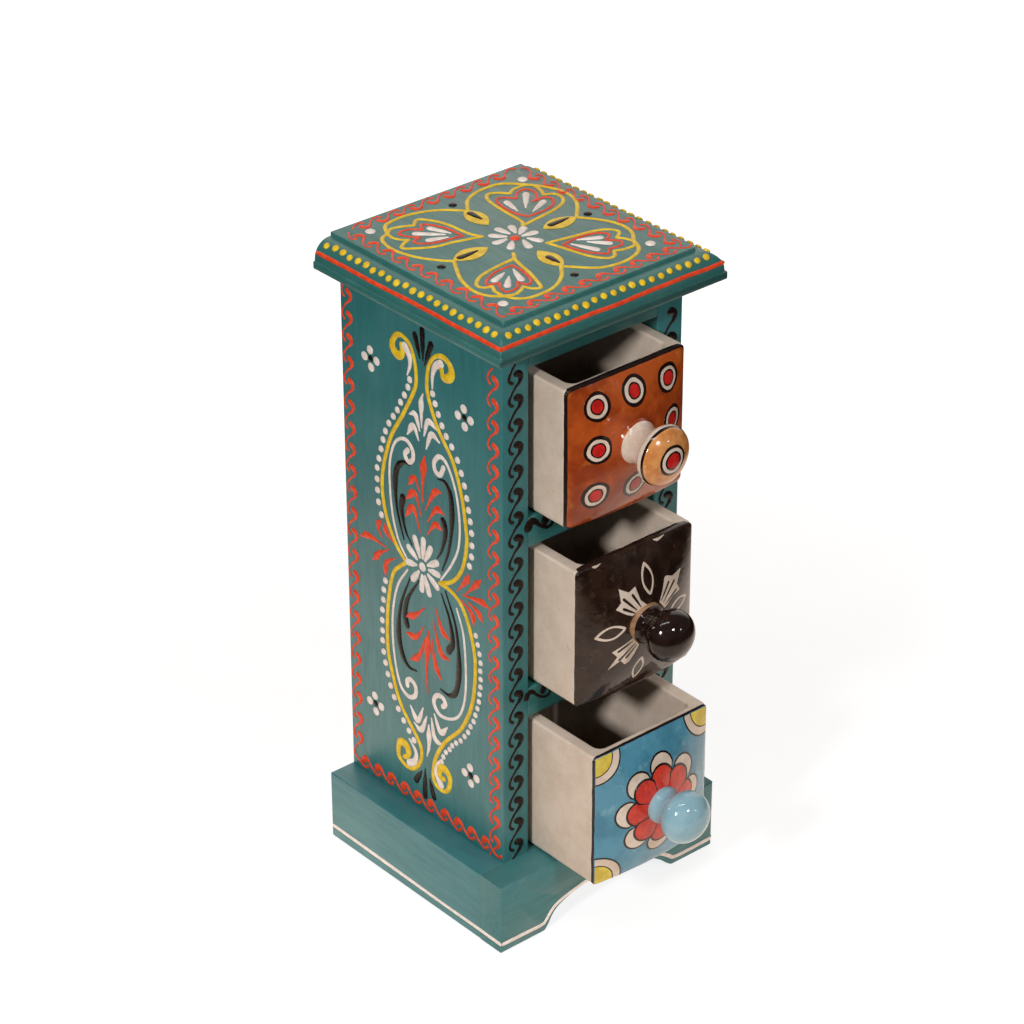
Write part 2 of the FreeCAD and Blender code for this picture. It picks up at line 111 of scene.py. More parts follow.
class Recipe:
    """A material or a world that is being written, node by node."""

    def __init__(self, block: Material | bpy.types.World) -> None:
        """Start writing.

        Args:
            block: The material or world, which is emptied first.
        """
        block.use_nodes = True
        self.block = block
        self.tree = block.node_tree
        self.tree.nodes.clear()

    def add(self, kind: str, inputs: dict | None = None, **settings: str | int) -> bpy.types.Node:
        """Add one node, set it up and feed it.

        Args:
            kind: The node's type name.
            inputs: For each input, by name or number, a constant or the socket that feeds it.
            **settings: Properties of the node itself.

        Returns:
            The new node.
        """
        node = self.tree.nodes.new(kind)
        for key, value in settings.items():
            setattr(node, key, value)
        for key, value in (inputs or {}).items():
            if isinstance(value, Socket):
                self.tree.links.new(value, node.inputs[key])
            else:
                node.inputs[key].default_value = value
        return node

    def place(self, stretch: Triple = (1, 1, 1)) -> Socket:
        """Give the point on the object in millimetres.

        Args:
            stretch: What each axis is multiplied by; less than 1 draws a pattern out along it.

        Returns:
            The point.
        """
        where = self.add("ShaderNodeTexCoord").outputs["Object"]
        scale = tuple(s / MM for s in stretch)
        return self.add("ShaderNodeMapping", {"Vector": where, "Scale": scale}).outputs[0]

    def noise(self, size: float, detail: float = 3, rough: float = 0.5,
              stretch: Triple = (1, 1, 1)) -> Socket:
        """Give a cloudy value from 0 to 1 whose features are about `size` mm wide."""
        inputs = {"Vector": self.place(stretch), "Scale": 1 / size, "Detail": detail, "Roughness": rough}
        return self.add("ShaderNodeTexNoise", inputs).outputs["Fac"]

    def ramp(self, value: Socket, low: float, high: float,
             to_low: float = 0, to_high: float = 1) -> Socket:
        """Map a value smoothly from one range to another, held at its ends.

        Args:
            value: What is mapped.
            low: Where the first range starts.
            high: Where it ends; it may be the lower end.
            to_low: What `low` becomes.
            to_high: What `high` becomes.

        Returns:
            The mapped value.
        """
        inputs = {"Value": value, "From Min": low, "From Max": high, "To Min": to_low, "To Max": to_high}
        node = self.add("ShaderNodeMapRange", inputs, interpolation_type="SMOOTHSTEP")
        return node.outputs[0]

    def sum(self, how: str, first: Feed, second: Feed) -> Socket:
        """Join two values by the math operation `how`."""
        return self.add("ShaderNodeMath", {0: first, 1: second}, operation=how).outputs[0]

    def mix(self, share: Feed, first: Socket | str, second: Socket | str) -> Socket:
        """Mix two colours, each a socket or an sRGB hex.

        Args:
            share: How much of the second there is, from 0 to 1.
            first: The first colour.
            second: The second colour.

        Returns:
            The mixed colour.
        """
        inputs = {0: share}
        for slot, colour in ((6, first), (7, second)):
            inputs[slot] = linear(colour) if isinstance(colour, str) else colour
        return self.add("ShaderNodeMix", inputs, data_type="RGBA").outputs[2]

    def bump(self, height: Socket, distance: float, under: Socket | None = None) -> Socket:
        """Turn a height into a normal.

        Args:
            height: The height, from 0 to 1.
            distance: How deep the relief is, in mm.
            under: The normal of a coarser relief that this one lies on.

        Returns:
            The normal.
        """
        inputs = {"Height": height, "Distance": distance * MM, "Strength": 1.0}
        if under is not None:
            inputs["Normal"] = under
        return self.add("ShaderNodeBump", inputs).outputs[0]

    def inside(self, box: tuple[Triple, Triple], soft: float, wander: Feed = 0.0) -> Socket:
        """Tell which points lie within a box.

        Args:
            box: Two opposite corners.
            soft: Half the width of its blurred border, in mm.
            wander: How far its front and back borders are moved in, in mm.

        Returns:
            1 inside and 0 outside.
        """
        low, high = box
        apart = self.add("ShaderNodeSeparateXYZ", {0: self.place()})
        share = None
        for axis in range(3):
            middle = (low[axis] + high[axis]) / 2
            half = (high[axis] - low[axis]) / 2
            off = self.sum("ABSOLUTE", self.sum("SUBTRACT", apart.outputs[axis], middle), 0.0)
            off = self.sum("ADD", off, wander) if axis == 1 else off
            within = self.ramp(off, half - soft, half + soft, 1, 0)
            share = within if share is None else self.sum("MULTIPLY", share, within)
        return share

    def close(self, **sockets: Feed) -> Material:
        """Write the surface shader from its sockets and close the material.

        Args:
            **sockets: Inputs of the Principled shader, with _ for a space in the name.

        Returns:
            The finished material.
        """
        inputs = {key.replace("_", " "): value for key, value in sockets.items()}
        surface = self.add("ShaderNodeBsdfPrincipled", inputs)
        self.add("ShaderNodeOutputMaterial", {"Surface": surface.outputs[0]})
        return self.block


def recipe(name: str) -> Recipe:
    """Start a new material called `name`."""
    return Recipe(bpy.data.materials.new(name))


# Finishes

# Where the brush never reached: the cabinet's inside and the plinth's
BARE_INSIDE = ((-36.6, -44, 34.9), (36.6, 60, 290.8))
BARE_UNDERSIDE = ((-50.6, -53.2, -2), (50.6, 60, 34.6))
# The cap's front lip, darkened with painted shade
SHADED_LIP = ((-66, -70, 289), (66, -66.4, 294.4))


@dataclass(frozen=True)
class MattWoodPaint:
    """Teal distemper brushed on soft wood: satin, streaky along the grain, rubbed at the edges."""

    name: str
    colour: str
    deep: str
    chalk: str
    grain: Triple = (1, 1, 0.12)

    def make(self) -> Material:
        """Write the paint, with bare brown wood where the brush never reached inside the cabinet, and
        painted shade on the cap's front lip.

        Returns:
            The material.
        """
        to = recipe(self.name)
        brush = to.noise(2.6, 6, 0.62, self.grain)
        cloud = to.noise(38, 3, 0.55)
        fibre = to.noise(0.9, 5, 0.6, self.grain)
        paint = to.mix(to.ramp(brush, 0.3, 0.7), self.deep, self.colour)
        paint = to.mix(to.ramp(cloud, 0.42, 0.68, 0, 0.35), paint, self.chalk)
        dry = to.ramp(to.noise(5.5, 8, 0.7, self.grain), 0.6, 0.74, 0, 0.2)
        paint = to.mix(dry, paint, self.chalk)
        paint = to.mix(self.rubbed_edges(to), paint, "#B9C2B6")
        wander = to.ramp(to.noise(7, 3), 0.3, 0.7, 0, 6)
        bare = to.sum("MAXIMUM", to.inside(BARE_INSIDE, 0.5, wander), to.inside(BARE_UNDERSIDE, 0.3))
        wood = to.mix(to.ramp(fibre, 0.35, 0.65), "#4A3120", "#7A5636")
        colour = to.mix(bare, paint, wood)
        # Painted shade: the cap's front lip darkened towards a deep teal
        colour = to.mix(to.sum("MULTIPLY", to.inside(SHADED_LIP, 0.5), 0.55), colour, "#17312F")
        rough = to.ramp(brush, 0.3, 0.7, 0.4, 0.3)
        normal = to.bump(fibre, 0.10)
        normal = to.bump(to.noise(2.2, 4, 0.6, self.grain), 0.1, normal)
        return to.close(Base_Color=colour, Roughness=rough, Normal=normal, IOR=1.5)

    def rubbed_edges(self, to: Recipe) -> Socket:
        """Find the pale rubbed paint, which sits on the sharp edges in broken patches.

        Args:
            to: The material that is being written.

        Returns:
            Its share, from 0 to 1.
        """
        round_off = to.add("ShaderNodeBevel", {"Radius": 0.7 * MM}, samples=4).outputs[0]
        true = to.add("ShaderNodeNewGeometry").outputs["True Normal"]
        same = to.add("ShaderNodeVectorMath", {0: round_off, 1: true}, operation="DOT_PRODUCT")
        edge = to.ramp(same.outputs["Value"], 0.985, 0.90)
        patches = to.ramp(to.noise(6, 5, 0.7), 0.52, 0.64, 0, 0.1)
        return to.sum("MULTIPLY", edge, patches)


@dataclass(frozen=True)
class ConePaint:
    """Thick acrylic paint squeezed from a cone: a raised satin line with small uneven lumps."""

    name: str
    colour: str
    deep: str
    rough: float = 0.34

    def make(self) -> Material:
        """Write the paint, a little darker where it lies thin.

        Returns:
            The material.
        """
        to = recipe(self.name)
        uneven = to.noise(3.2, 3, 0.55)
        colour = to.mix(to.ramp(uneven, 0.38, 0.64), self.deep, self.colour)
        rough = to.ramp(to.noise(1.4, 2), 0.35, 0.65, self.rough - 0.06, self.rough + 0.1)
        normal = to.bump(to.noise(1.1, 3), 0.10)
        return to.close(Base_Color=colour, Roughness=rough, Normal=normal, Specular_IOR_Level=0.2)


@dataclass(frozen=True)
class Glaze:
    """Glass fired over brushed colour: a hard wet shine over a cloudy, pooled layer."""

    name: str
    colour: str
    deep: str
    pale: str
    blot: float = 9.0
    rough: float = 0.07
    ripple: float = 0.16

    def make(self) -> Material:
        """Write the glaze with pools, thin spots, pinholes and a slow ripple in its skin.

        Returns:
            The material.
        """
        to = recipe(self.name)
        pool = to.noise(self.blot, 5, 0.6)
        colour = to.mix(to.ramp(pool, 0.36, 0.6), self.deep, self.colour)
        thin = to.ramp(to.noise(self.blot * 0.55, 6, 0.66), 0.56, 0.7, 0, 0.55)
        colour = to.mix(thin, colour, self.pale)
        specks = to.add("ShaderNodeTexVoronoi", {"Vector": to.place(), "Scale": 0.55})
        hole = to.ramp(specks.outputs["Distance"], 0.05, 0.11, 1, 0)
        few = to.ramp(to.noise(6, 2), 0.55, 0.62)
        pin = to.sum("MULTIPLY", hole, few)
        colour = to.mix(to.sum("MULTIPLY", pin, 0.6), colour, self.deep)
        rough = to.ramp(to.noise(4, 4), 0.4, 0.7, self.rough, self.rough + 0.14)
        normal = to.bump(to.noise(5.5, 2), self.ripple)
        normal = to.bump(to.sum("SUBTRACT", 1.0, pin), self.ripple / 4, normal)
        return to.close(Base_Color=colour, Roughness=rough, Normal=normal, IOR=1.5)


@dataclass(frozen=True)
class PaleBisque:
    """Thinly glazed off-white clay: dull, with fine grit, faint smears and grey-brown specks."""

    name: str
    colour: str
    deep: str
    pale: str

    def make(self, part: str, rim: float, top: float) -> Material:
        """Write the clay wall with its grit, browner and darker inside the drawer, partly its own tone and
        partly painted shade.

        Args:
            part: The name to add for one drawer's own clay.
            rim: Where the drawer's front edge stands along Y, in mm.
            top: The height of its rim, in mm.

        Returns:
            The material.
        """
        to = recipe(f"{self.name}_{part}")
        cloud = to.noise(14, 5, 0.62)
        colour = to.mix(to.ramp(cloud, 0.34, 0.66), self.deep, self.colour)
        colour = to.mix(to.ramp(to.noise(3, 6, 0.7), 0.52, 0.72, 0, 0.5), colour, self.pale)
        dots = to.add("ShaderNodeTexVoronoi", {"Vector": to.place(), "Scale": 0.42})
        grit = to.ramp(dots.outputs["Distance"], 0.08, 0.17, 1, 0)
        grit = to.sum("MULTIPLY", grit, to.ramp(to.noise(5, 2), 0.5, 0.64, 0, 0.6))
        colour = to.mix(grit, colour, "#8C7766")
        # Browner and darker inside the drawer, most of all deeper down below the rim: partly the clay's own
        # tone, partly painted shade
        shaded_hollow = to.inside(((-27.3, rim + 5.6, top - 80), (27.3, rim + 140, top - 0.6)), 0.8)
        height = to.add("ShaderNodeSeparateXYZ", {0: to.place()}).outputs["Z"]
        depth = to.ramp(height, top - 34, top - 2, 0.92, 0.55)
        colour = to.mix(to.sum("MULTIPLY", shaded_hollow, depth), colour, "#4B3A2C")
        rough = to.ramp(cloud, 0.3, 0.7, 0.62, 0.45)
        normal = to.bump(to.noise(0.7, 4, 0.6), 0.06)
        normal = to.bump(to.noise(9, 3), 0.15, normal)
        return to.close(Base_Color=colour, Roughness=rough, Normal=normal, Specular_IOR_Level=0.35)


@dataclass(frozen=True)
class DrawnSteel:
    """Plain wire-nail steel: grey, half polished, with darker handled patches."""

    name: str
    colour: str
    deep: str

    def make(self) -> Material:
        """Write the metal, duller and darker where it is stained.

        Returns:
            The material.
        """
        to = recipe(self.name)
        stain = to.noise(1.5, 5, 0.65)
        colour = to.mix(to.ramp(stain, 0.4, 0.62), self.deep, self.colour)
        rough = to.ramp(stain, 0.35, 0.65, 0.5, 0.28)
        normal = to.bump(to.noise(0.4, 3), 0.02)
        return to.close(Base_Color=colour, Roughness=rough, Normal=normal, Metallic=1.0)


# Brushed teal, one for each way the grain runs, its colour shifted per face for how the light falls there
# as painted light: dull, streaky and slightly chalky
TEAL = MattWoodPaint("teal_paint_on_wood", "#337577", "#2B6A6C", "#4B8487")
TEAL_FLAT = MattWoodPaint("teal_paint_lengthwise", "#36716D", "#2E6662", "#527F79", (1, 0.12, 1))
TEAL_PLINTH = MattWoodPaint("teal_paint_on_plinth", "#37797E", "#2F6E73", "#52878C", (1, 0.12, 1))
TEAL_PLINTH_FRONT = MattWoodPaint("teal_paint_on_plinth_front", "#387576", "#306A6C", "#538385",
                                  (0.12, 1, 1))
TEAL_CROSS = MattWoodPaint("teal_paint_crosswise", "#34706E", "#2C6462", "#4B7E7B", (0.12, 1, 1))
# Squeezed paint: bright thick lines that catch a soft light along their backs
CONE_PAINTS = {
    Colour.RED: ConePaint("red_cone_paint", "#F04E28", "#DC4020"),
    Colour.YELLOW: ConePaint("yellow_cone_paint", "#F0CC2E", "#DEB426"),
    Colour.WHITE: ConePaint("white_cone_paint", "#F3E7E0", "#E6D6CD"),
    Colour.BLACK: ConePaint("black_cone_paint", "#15100F", "#241613", 0.26),
}
# Fired glazes: wet and deep, cloudy where they pooled, with hard small glints
ORANGE = Glaze("orange_glaze", "#B5521F", "#8E3716", "#C87C36", 20)
BROWN_BLACK = Glaze("brown_black_glaze", "#32211A", "#20140F", "#574236", 9)
BLUE = Glaze("blue_glaze", "#5392AB", "#417E97", "#86B0BA", 14)
CREAM = Glaze("cream_glaze", "#E2D0C0", "#D2BDAA", "#EDE0D2")
BLACK_GLAZE = Glaze("black_glaze", "#241613", "#1A0F0D", "#33231D", 9, 0.05, 0.05)
TARGET_RED = Glaze("red_glaze", "#CE2622", "#B01C1A", "#DA4034", 5)
PETAL_RED = Glaze("petal_red_glaze", "#DE3F2E", "#C42E21", "#E65A45", 6)
CORNER_YELLOW = Glaze("yellow_glaze", "#E6CF50", "#D0B23A", "#EEE08A", 8)
DOME_ORANGE = Glaze("honey_glaze", "#DE9A5A", "#CA7E44", "#EABC88", 6, 0.06, 0.05)
PALE_BLUE = Glaze("pale_blue_glaze", "#93B9C6", "#86AEBD", "#A3C5CF", 14, 0.05, 0.04)
RAW_FOOT = Glaze("unglazed_foot", "#A5805F", "#8A6547", "#B99A7C", 4, 0.45)
# Bare clay is dusty and takes no glint, and nail steel is a dark grey gleam
CLAY = PaleBisque("off_white_clay", "#DBC9B8", "#CFBCAA", "#E2D3C5")
STEEL = DrawnSteel("nail_steel", "#8E8C88", "#5E5A55")


# Surfaces that paint lies on


@dataclass(frozen=True)
class Flat:
    """A flat face, with two directions in it and the way it looks."""

    origin: Triple
    across: Triple
    up: Triple
    out: Triple

    def at(self, u: float, v: float, lift: float) -> Vector:
        """Give the point (u, v) of the face, `lift` mm above it."""
        spot = Vector(self.origin) + u * Vector(self.across) + v * Vector(self.up)
        return spot + lift * Vector(self.out)


@dataclass(frozen=True)
class Crown:
    """A drawer's front face, which bulges in the middle."""

    centre: float
    underside: float
    rim: float
    height: float
    width: float = 66.5
    swell: float = 31.5
    chin: float = 5.0

    def bulge(self, u: float, v: float) -> float:
        """Measure how far the face stands out from the rim's plane.

        Args:
            u: The place from the middle, in mm.
            v: The place above the underside, in mm.

        Returns:
            The distance in mm.
        """
        s = min(max(u / self.width + 0.5, 0), 1)
        t = min(max(1 - v / self.height, 0), 1)
        return 2 * s * (1 - s) * (2 * t * (1 - t) * self.swell + t * t * self.chin)

    def at(self, u: float, v: float, lift: float) -> Vector:
        """Give the point u from the middle and v above the underside, `lift` mm in front."""
        return Vector((self.centre + u, self.rim - self.bulge(u, v) - lift, self.underside + v))


@dataclass(frozen=True)
class Ovolo:
    """The cap's quarter-round moulding, along one of its three sides."""

    edge: Triple
    along: Triple
    out: Triple
    radius: float = 8.0
    level: float = 295.2

    def at(self, u: float, v: float, lift: float) -> Vector:
        """Give a point on the round or over it.

        Args:
            u: How far along the side, in mm.
            v: How far up the round, in degrees.
            lift: How far off it, in mm.

        Returns:
            The point in mm.
        """
        angle = math.radians(v)
        reach = self.radius + lift
        point = Vector(self.edge) + u * Vector(self.along)
        point += Vector(self.out) * (reach * math.cos(angle) - self.radius)
        return point + Vector((0, 0, self.level + reach * math.sin(angle)))


Surface = Flat | Crown | Ovolo


# Curves


def smooth(points: Sequence[Point], step: float) -> list[Point]:
    """Lay an even row of points on a smooth curve.

    Args:
        points: The points the curve passes through.
        step: The spacing, in mm.

    Returns:
        The row, from the first point to the last.
    """
    fine = []
    for i in range(len(points) - 1):
        p1, p2 = Vector(points[i]), Vector(points[i + 1])
        p0 = Vector(points[i - 1]) if i else p1 * 2 - p2
        p3 = Vector(points[i + 2]) if i + 2 < len(points) else p2 * 2 - p1
        count = max(2, math.ceil((p2 - p1).length / step))
        for k in range(count):
            t = k / count
            fine.append(0.5 * (2 * p1 + (p2 - p0) * t + (2 * p0 - 5 * p1 + 4 * p2 - p3) * t * t
                               + (3 * p1 - 3 * p2 + p3 - p0) * t * t * t))
    fine.append(Vector(points[-1]))
    return [(p.x, p.y) for p in fine]


def along(values: Sequence[float], share: float) -> float:
    """Read a row of values between its marks.

    Args:
        values: The row.
        share: Where to read it, from 0 at its start to 1 at its end.

    Returns:
        The value there.
    """
    if len(values) == 1:
        return values[0]
    place = share * (len(values) - 1)
    i = min(int(place), len(values) - 2)
    t = place - i
    t = t * t * (3 - 2 * t)
    return values[i] * (1 - t) + values[i + 1] * t


def polar(centre: Point, radius: float, turn: float) -> Point:
    """Give the point at a distance from `centre`, in the direction `turn` in radians."""
    return (centre[0] + radius * math.cos(turn), centre[1] + radius * math.sin(turn))


def arc(centre: Point, radius: float, start: float, steps: int, sweep: float = 90) -> list[Point]:
    """Give steps + 1 points of an arc, from `start` on; both angles are in degrees."""
    return [polar(centre, radius, math.radians(start + sweep * k / steps)) for k in range(steps + 1)]


def stack(rows: Sequence[Sequence[Vector]]) -> tuple[list[Vector], list[range]]:
    """Number the points of rows of the same length, one row after the other.

    Args:
        rows: The rows.

    Returns:
        All points, and the numbers of each row's points.
    """
    count = len(rows[0])
    return [p for row in rows for p in row], [range(k * count, (k + 1) * count) for k in range(len(rows))]


def span(rings: Sequence[Sequence[int]]) -> list[Face]:
    """Join each closed ring of point numbers to the next one.

    Args:
        rings: The rings, all with the same count.

    Returns:
        Four-sided faces, ring by ring.
    """
    faces = []
    for a, b in zip(rings, rings[1:]):
        for k in range(len(a)):
            n = (k + 1) % len(a)
            faces.append((a[k], a[n], b[n], b[k]))
    return faces


def grid_points(low: Point, high: Point, pitch: float) -> list[Vector]:
    """Fill a rectangle with an even grid of points, column by column.

    Args:
        low: The first point.
        high: The corner that no point reaches.
        pitch: Their spacing, in mm.

    Returns:
        The points.
    """
    points = []
    u = low[0]
    while u < high[0]:
        v = low[1]
        while v < high[1]:
            points.append(Vector((u, v)))
            v += pitch
        u += pitch
    return points


def mirrored(rows: Sequence[Sequence[Point]], middle: float) -> list[list[Point]]:
    """Mirror rows of points about the upright line u = middle."""
    return [[(2 * middle - u, v) for u, v in row] for row in rows]


# Half sections of a squeezed line and of the bead on the cap, as (side, height)
LINE_SECTION = ((-1, -0.12), (-0.92, 0.3), (-0.5, 0.84), (0, 1), (0.5, 0.84), (0.92, 0.3), (1, -0.12))
BEAD_SECTION = ((-1, -0.1), (-0.6, 0.7), (0, 1), (0.6, 0.7), (1, -0.1))
# The levels of a dot, as (share of its radius, share of its height)
DOT_LEVELS = ((1.0, -0.1), (0.97, 0.25), (0.78, 0.66), (0.45, 0.92))


@dataclass
class Paintwork:
    """Paint of one finish on one surface, gathered into one mesh; `lift` is its ground's height."""

    name: str
    surface: Surface
    finish: Material
    lift: float = 0.0
    body: Body = Body.CABINET
    step: float = 0.8
    points: list[Vector] = field(default_factory=list)
    faces: list[Face] = field(default_factory=list)

    def spot(self, u: float, v: float, height: float) -> int:
        """Add a point of the mesh and give its number."""
        self.points.append(metres(self.surface.at(u, v, self.lift + height)))
        return len(self.points) - 1

    def strokes(self, rows: Sequence[Sequence[Point]], widths: Sequence[float],
                height: float = 0.45) -> None:
        """Draw several lines alike."""
        for row in rows:
            self.stroke(row, widths, height)

    def stroke(self, points: Sequence[Point], widths: Sequence[float], height: float = 0.45) -> None:
        """Draw a rounded line of paint whose width changes along it.

        Args:
            points: The points that it passes through.
            widths: Its widths in mm, spread evenly over its length.
            height: How high it stands.
        """
        row = smooth(points, self.step)
        reach = [0.0]
        for a, b in zip(row, row[1:]):
            reach.append(reach[-1] + math.dist(a, b))
        whole = reach[-1] or 1.0
        sections = []
        for i, (u, v) in enumerate(row):
            a, b = row[max(i - 1, 0)], row[min(i + 1, len(row) - 1)]
            turn = math.atan2(b[1] - a[1], b[0] - a[0])
            sections.append((u, v, turn, along(widths, reach[i] / whole), 1.0))
        first, last = sections[0], sections[-1]
        for end, sign in ((first, -1), (last, 1)):
            for share in (0.55, 0.88, 1.0):
                u, v = polar(end[:2], sign * share * end[3] / 2, end[2])
                thin = math.sqrt(max(0.0, 1 - share * share))
                sections.insert(0 if sign < 0 else len(sections), (u, v, end[2], end[3], max(thin, 0.04)))
        self.skin(sections, height)

    def skin(self, sections: Sequence[tuple[float, ...]], height: float) -> None:
        """Span a closed rounded skin over a line.

        Args:
            sections: Its cross-sections: place, direction, width and share of the full section.
            height: How high a wide line stands.
        """
        rings = []
        for u, v, turn, width, thin in sections:
            high = height * min(1.0, 0.45 + width / 4)
            side = (-math.sin(turn) * width / 2 * thin, math.cos(turn) * width / 2 * thin)
            rings.append([
                self.spot(u + s * side[0], v + s * side[1], h * high * (thin if h > 0 else 1))
                for s, h in LINE_SECTION
            ])
        self.close(rings)

    def close(self, rings: Sequence[Sequence[int]]) -> None:
        """Span a row of sections and shut both of its ends."""
        self.faces += [*span(rings), tuple(rings[0]), tuple(reversed(rings[-1]))]

    def dot(self, u: float, v: float, radius: float, height: float = 0.8, stretch: float = 1.0) -> None:
        """Put down a domed dot of paint.

        Args:
            u: Its middle.
            v: Its middle.
            radius: Its radius in mm.
            height: How high it stands.
            stretch: What its size along v is multiplied by.
        """
        count = 18
        rings = []
        for share, high in DOT_LEVELS:
            rings.append([self.spot(u + radius * share * math.cos(2 * math.pi * k / count),
                                    v + radius * stretch * share * math.sin(2 * math.pi * k / count),
                                    height * high) for k in range(count)])
        top = self.spot(u, v, height)
        last = rings[-1]
        self.faces += [*span(rings), tuple(reversed(rings[0]))]
        self.faces += [(last[k], last[(k + 1) % count], top) for k in range(count)]

    def patch(self, outline: Sequence[Point], height: float = 0.08, grid: float = 2.2) -> None:
        """Fill an outline with a thin layer that follows the surface.

        Args:
            outline: The corners of the outline, in order.
            height: How high the layer stands.
            grid: The spacing of the points inside it.
        """
        border = [Vector(p) for p in outline]
        low = [min(p[i] for p in border) + grid / 2 for i in (0, 1)]
        high = [max(p[i] for p in border) for i in (0, 1)]
        inner = [q for q in grid_points(low, high, grid)
                 if min((q - p).length for p in border) > grid * 0.45]
        found = delaunay_2d_cdt(border + inner, [], [list(range(len(border)))], 1, 1e-5)
        spots, tiles = found[0], found[2]
        top = [self.spot(p.x, p.y, height) for p in spots]
        low = [self.spot(p.x, p.y, SUNK) for p in spots]
        edges: dict[tuple[int, int], None] = {}
        for tile in tiles:
            self.faces.append(tuple(top[i] for i in tile))
            self.faces.append(tuple(low[i] for i in reversed(tile)))
            edges.update(dict.fromkeys(zip(tile, tile[1:] + tile[:1])))
        self.faces += [(low[a], low[b], top[b], top[a]) for a, b in edges if (b, a) not in edges]

    def ring(self, u: float, v: float, outer: float, inner: float, height: float = 0.08) -> None:
        """Fill the uneven band between two circles.

        Args:
            u: Their middle.
            v: Their middle.
            outer: The larger radius in mm.
            inner: The smaller one, or 0 for a whole disc.
            height: How high the layer stands.
        """
        count = 48
        least = max(inner, 0.05)
        steps = max(1, round((outer - inner) / 1.5))
        levels = [(outer + (least - outer) * k / steps, height) for k in range(steps + 1)]
        rows = []
        for radius, high in levels + [(least, SUNK), (outer, SUNK)]:
            row = []
            for k in range(count):
                a, b = polar((0, 0), 1, 2 * math.pi * k / count)
                sway = 1 + 0.07 * noise.noise(Vector((a + u, b + v, radius * 0.4)) * 1.3)
                row.append(self.spot(u + a * radius * sway, v + b * radius * sway, high))
            rows.append(row)
        self.faces += span([*rows, rows[0]])

    def lay(self) -> None:
        """Turn the gathered paint into an object of the tower."""
        make_object(self.name, self.points, self.faces, [self.finish], self.body)


def make_object(name: str, points: Sequence[Vector], faces: Sequence[Face],
                finishes: Sequence[Material], body: Body,
                zones: Sequence[int] | None = None, soft: float = 40) -> bpy.types.Object:
    """Make one mesh object with outward faces and soft shading.

    Args:
        name: The object's name.
        points: Its points, in metres.
        faces: Its faces, as numbers of points.
        finishes: Its materials.
        body: The body that it rides on.
        zones: For each face, the number of its material.
        soft: The angle in degrees above which an edge stays sharp.

    Returns:
        The object, linked into the scene.
    """
    mesh = bpy.data.meshes.new(name)
    mesh.from_pydata([tuple(p) for p in points], [], faces)
    for finish in finishes:
        mesh.materials.append(finish)
    if zones is not None:
        mesh.polygons.foreach_set("material_index", zones)
    shape = bmesh.new()
    shape.from_mesh(mesh)
    bmesh.ops.recalc_face_normals(shape, faces=shape.faces)
    shape.to_mesh(mesh)
    shape.free()
    return shade(mesh, body, soft)


def shade(mesh: bpy.types.Mesh, body: Body, soft: float) -> bpy.types.Object:
    """Shade a mesh softly and put it in the scene.

    Args:
        mesh: The mesh, whose name the object takes.
        body: The body that it rides on.
        soft: The angle in degrees above which an edge stays sharp.

    Returns:
        The object.
    """
    mesh.polygons.foreach_set("use_smooth", [True] * len(mesh.polygons))
    mesh.set_sharp_from_angle(angle=math.radians(soft))
    piece = bpy.data.objects.new(mesh.name, mesh)
    bpy.context.scene.collection.objects.link(piece)
    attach(piece, body.value)
    log.info("built %s", mesh.name)
    return piece


def dress(finish: Material, *nodes: str) -> None:
    """Give the CAD's own mesh of some nodes a finish.

    Args:
        finish: The finish for every slot.
        *nodes: The names of the nodes.
    """
    for node in nodes:
        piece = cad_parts[node]
        if not piece.material_slots:
            piece.data.materials.append(finish)
        for slot in piece.material_slots:
            slot.material = finish
        log.info("finished %s", node)


# Woodwork


def paint_over(piece: bpy.types.Object, node: str) -> None:
    """Hide the CAD's board, which the painted piece covers."""
    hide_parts(node)


@dataclass(frozen=True)
class Board:
    """A sawn board under its coat of paint, with edges softened by sanding."""

    node: str
    finish: Material
    coat: Sequence[Triple] = ()
    ease: float = 0.5
    thick: float = COAT

    def build(self) -> None:
        """Build the board over its CAD node, thicker by the paint on the coated sides."""
        low, high = (Vector(c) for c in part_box(self.node))
        for side in self.coat:
            for axis in range(3):
                if side[axis] < 0:
                    low[axis] -= self.thick * MM
                if side[axis] > 0:
                    high[axis] += self.thick * MM
        mesh = bpy.data.meshes.new(self.node + "_painted")
        shape = bmesh.new()
        bmesh.ops.create_cube(shape, size=1.0)
        for vert in shape.verts:
            vert.co = Vector([low[i] + (vert.co[i] + 0.5) * (high[i] - low[i]) for i in range(3)])
        bmesh.ops.bevel(shape, geom=shape.edges[:], offset=self.ease * MM, segments=3,
                        profile=0.6, affect="EDGES")
        shape.to_mesh(mesh)
        shape.free()
        mesh.materials.append(self.finish)
        paint_over(shade(mesh, Body.CABINET, 50), self.node)


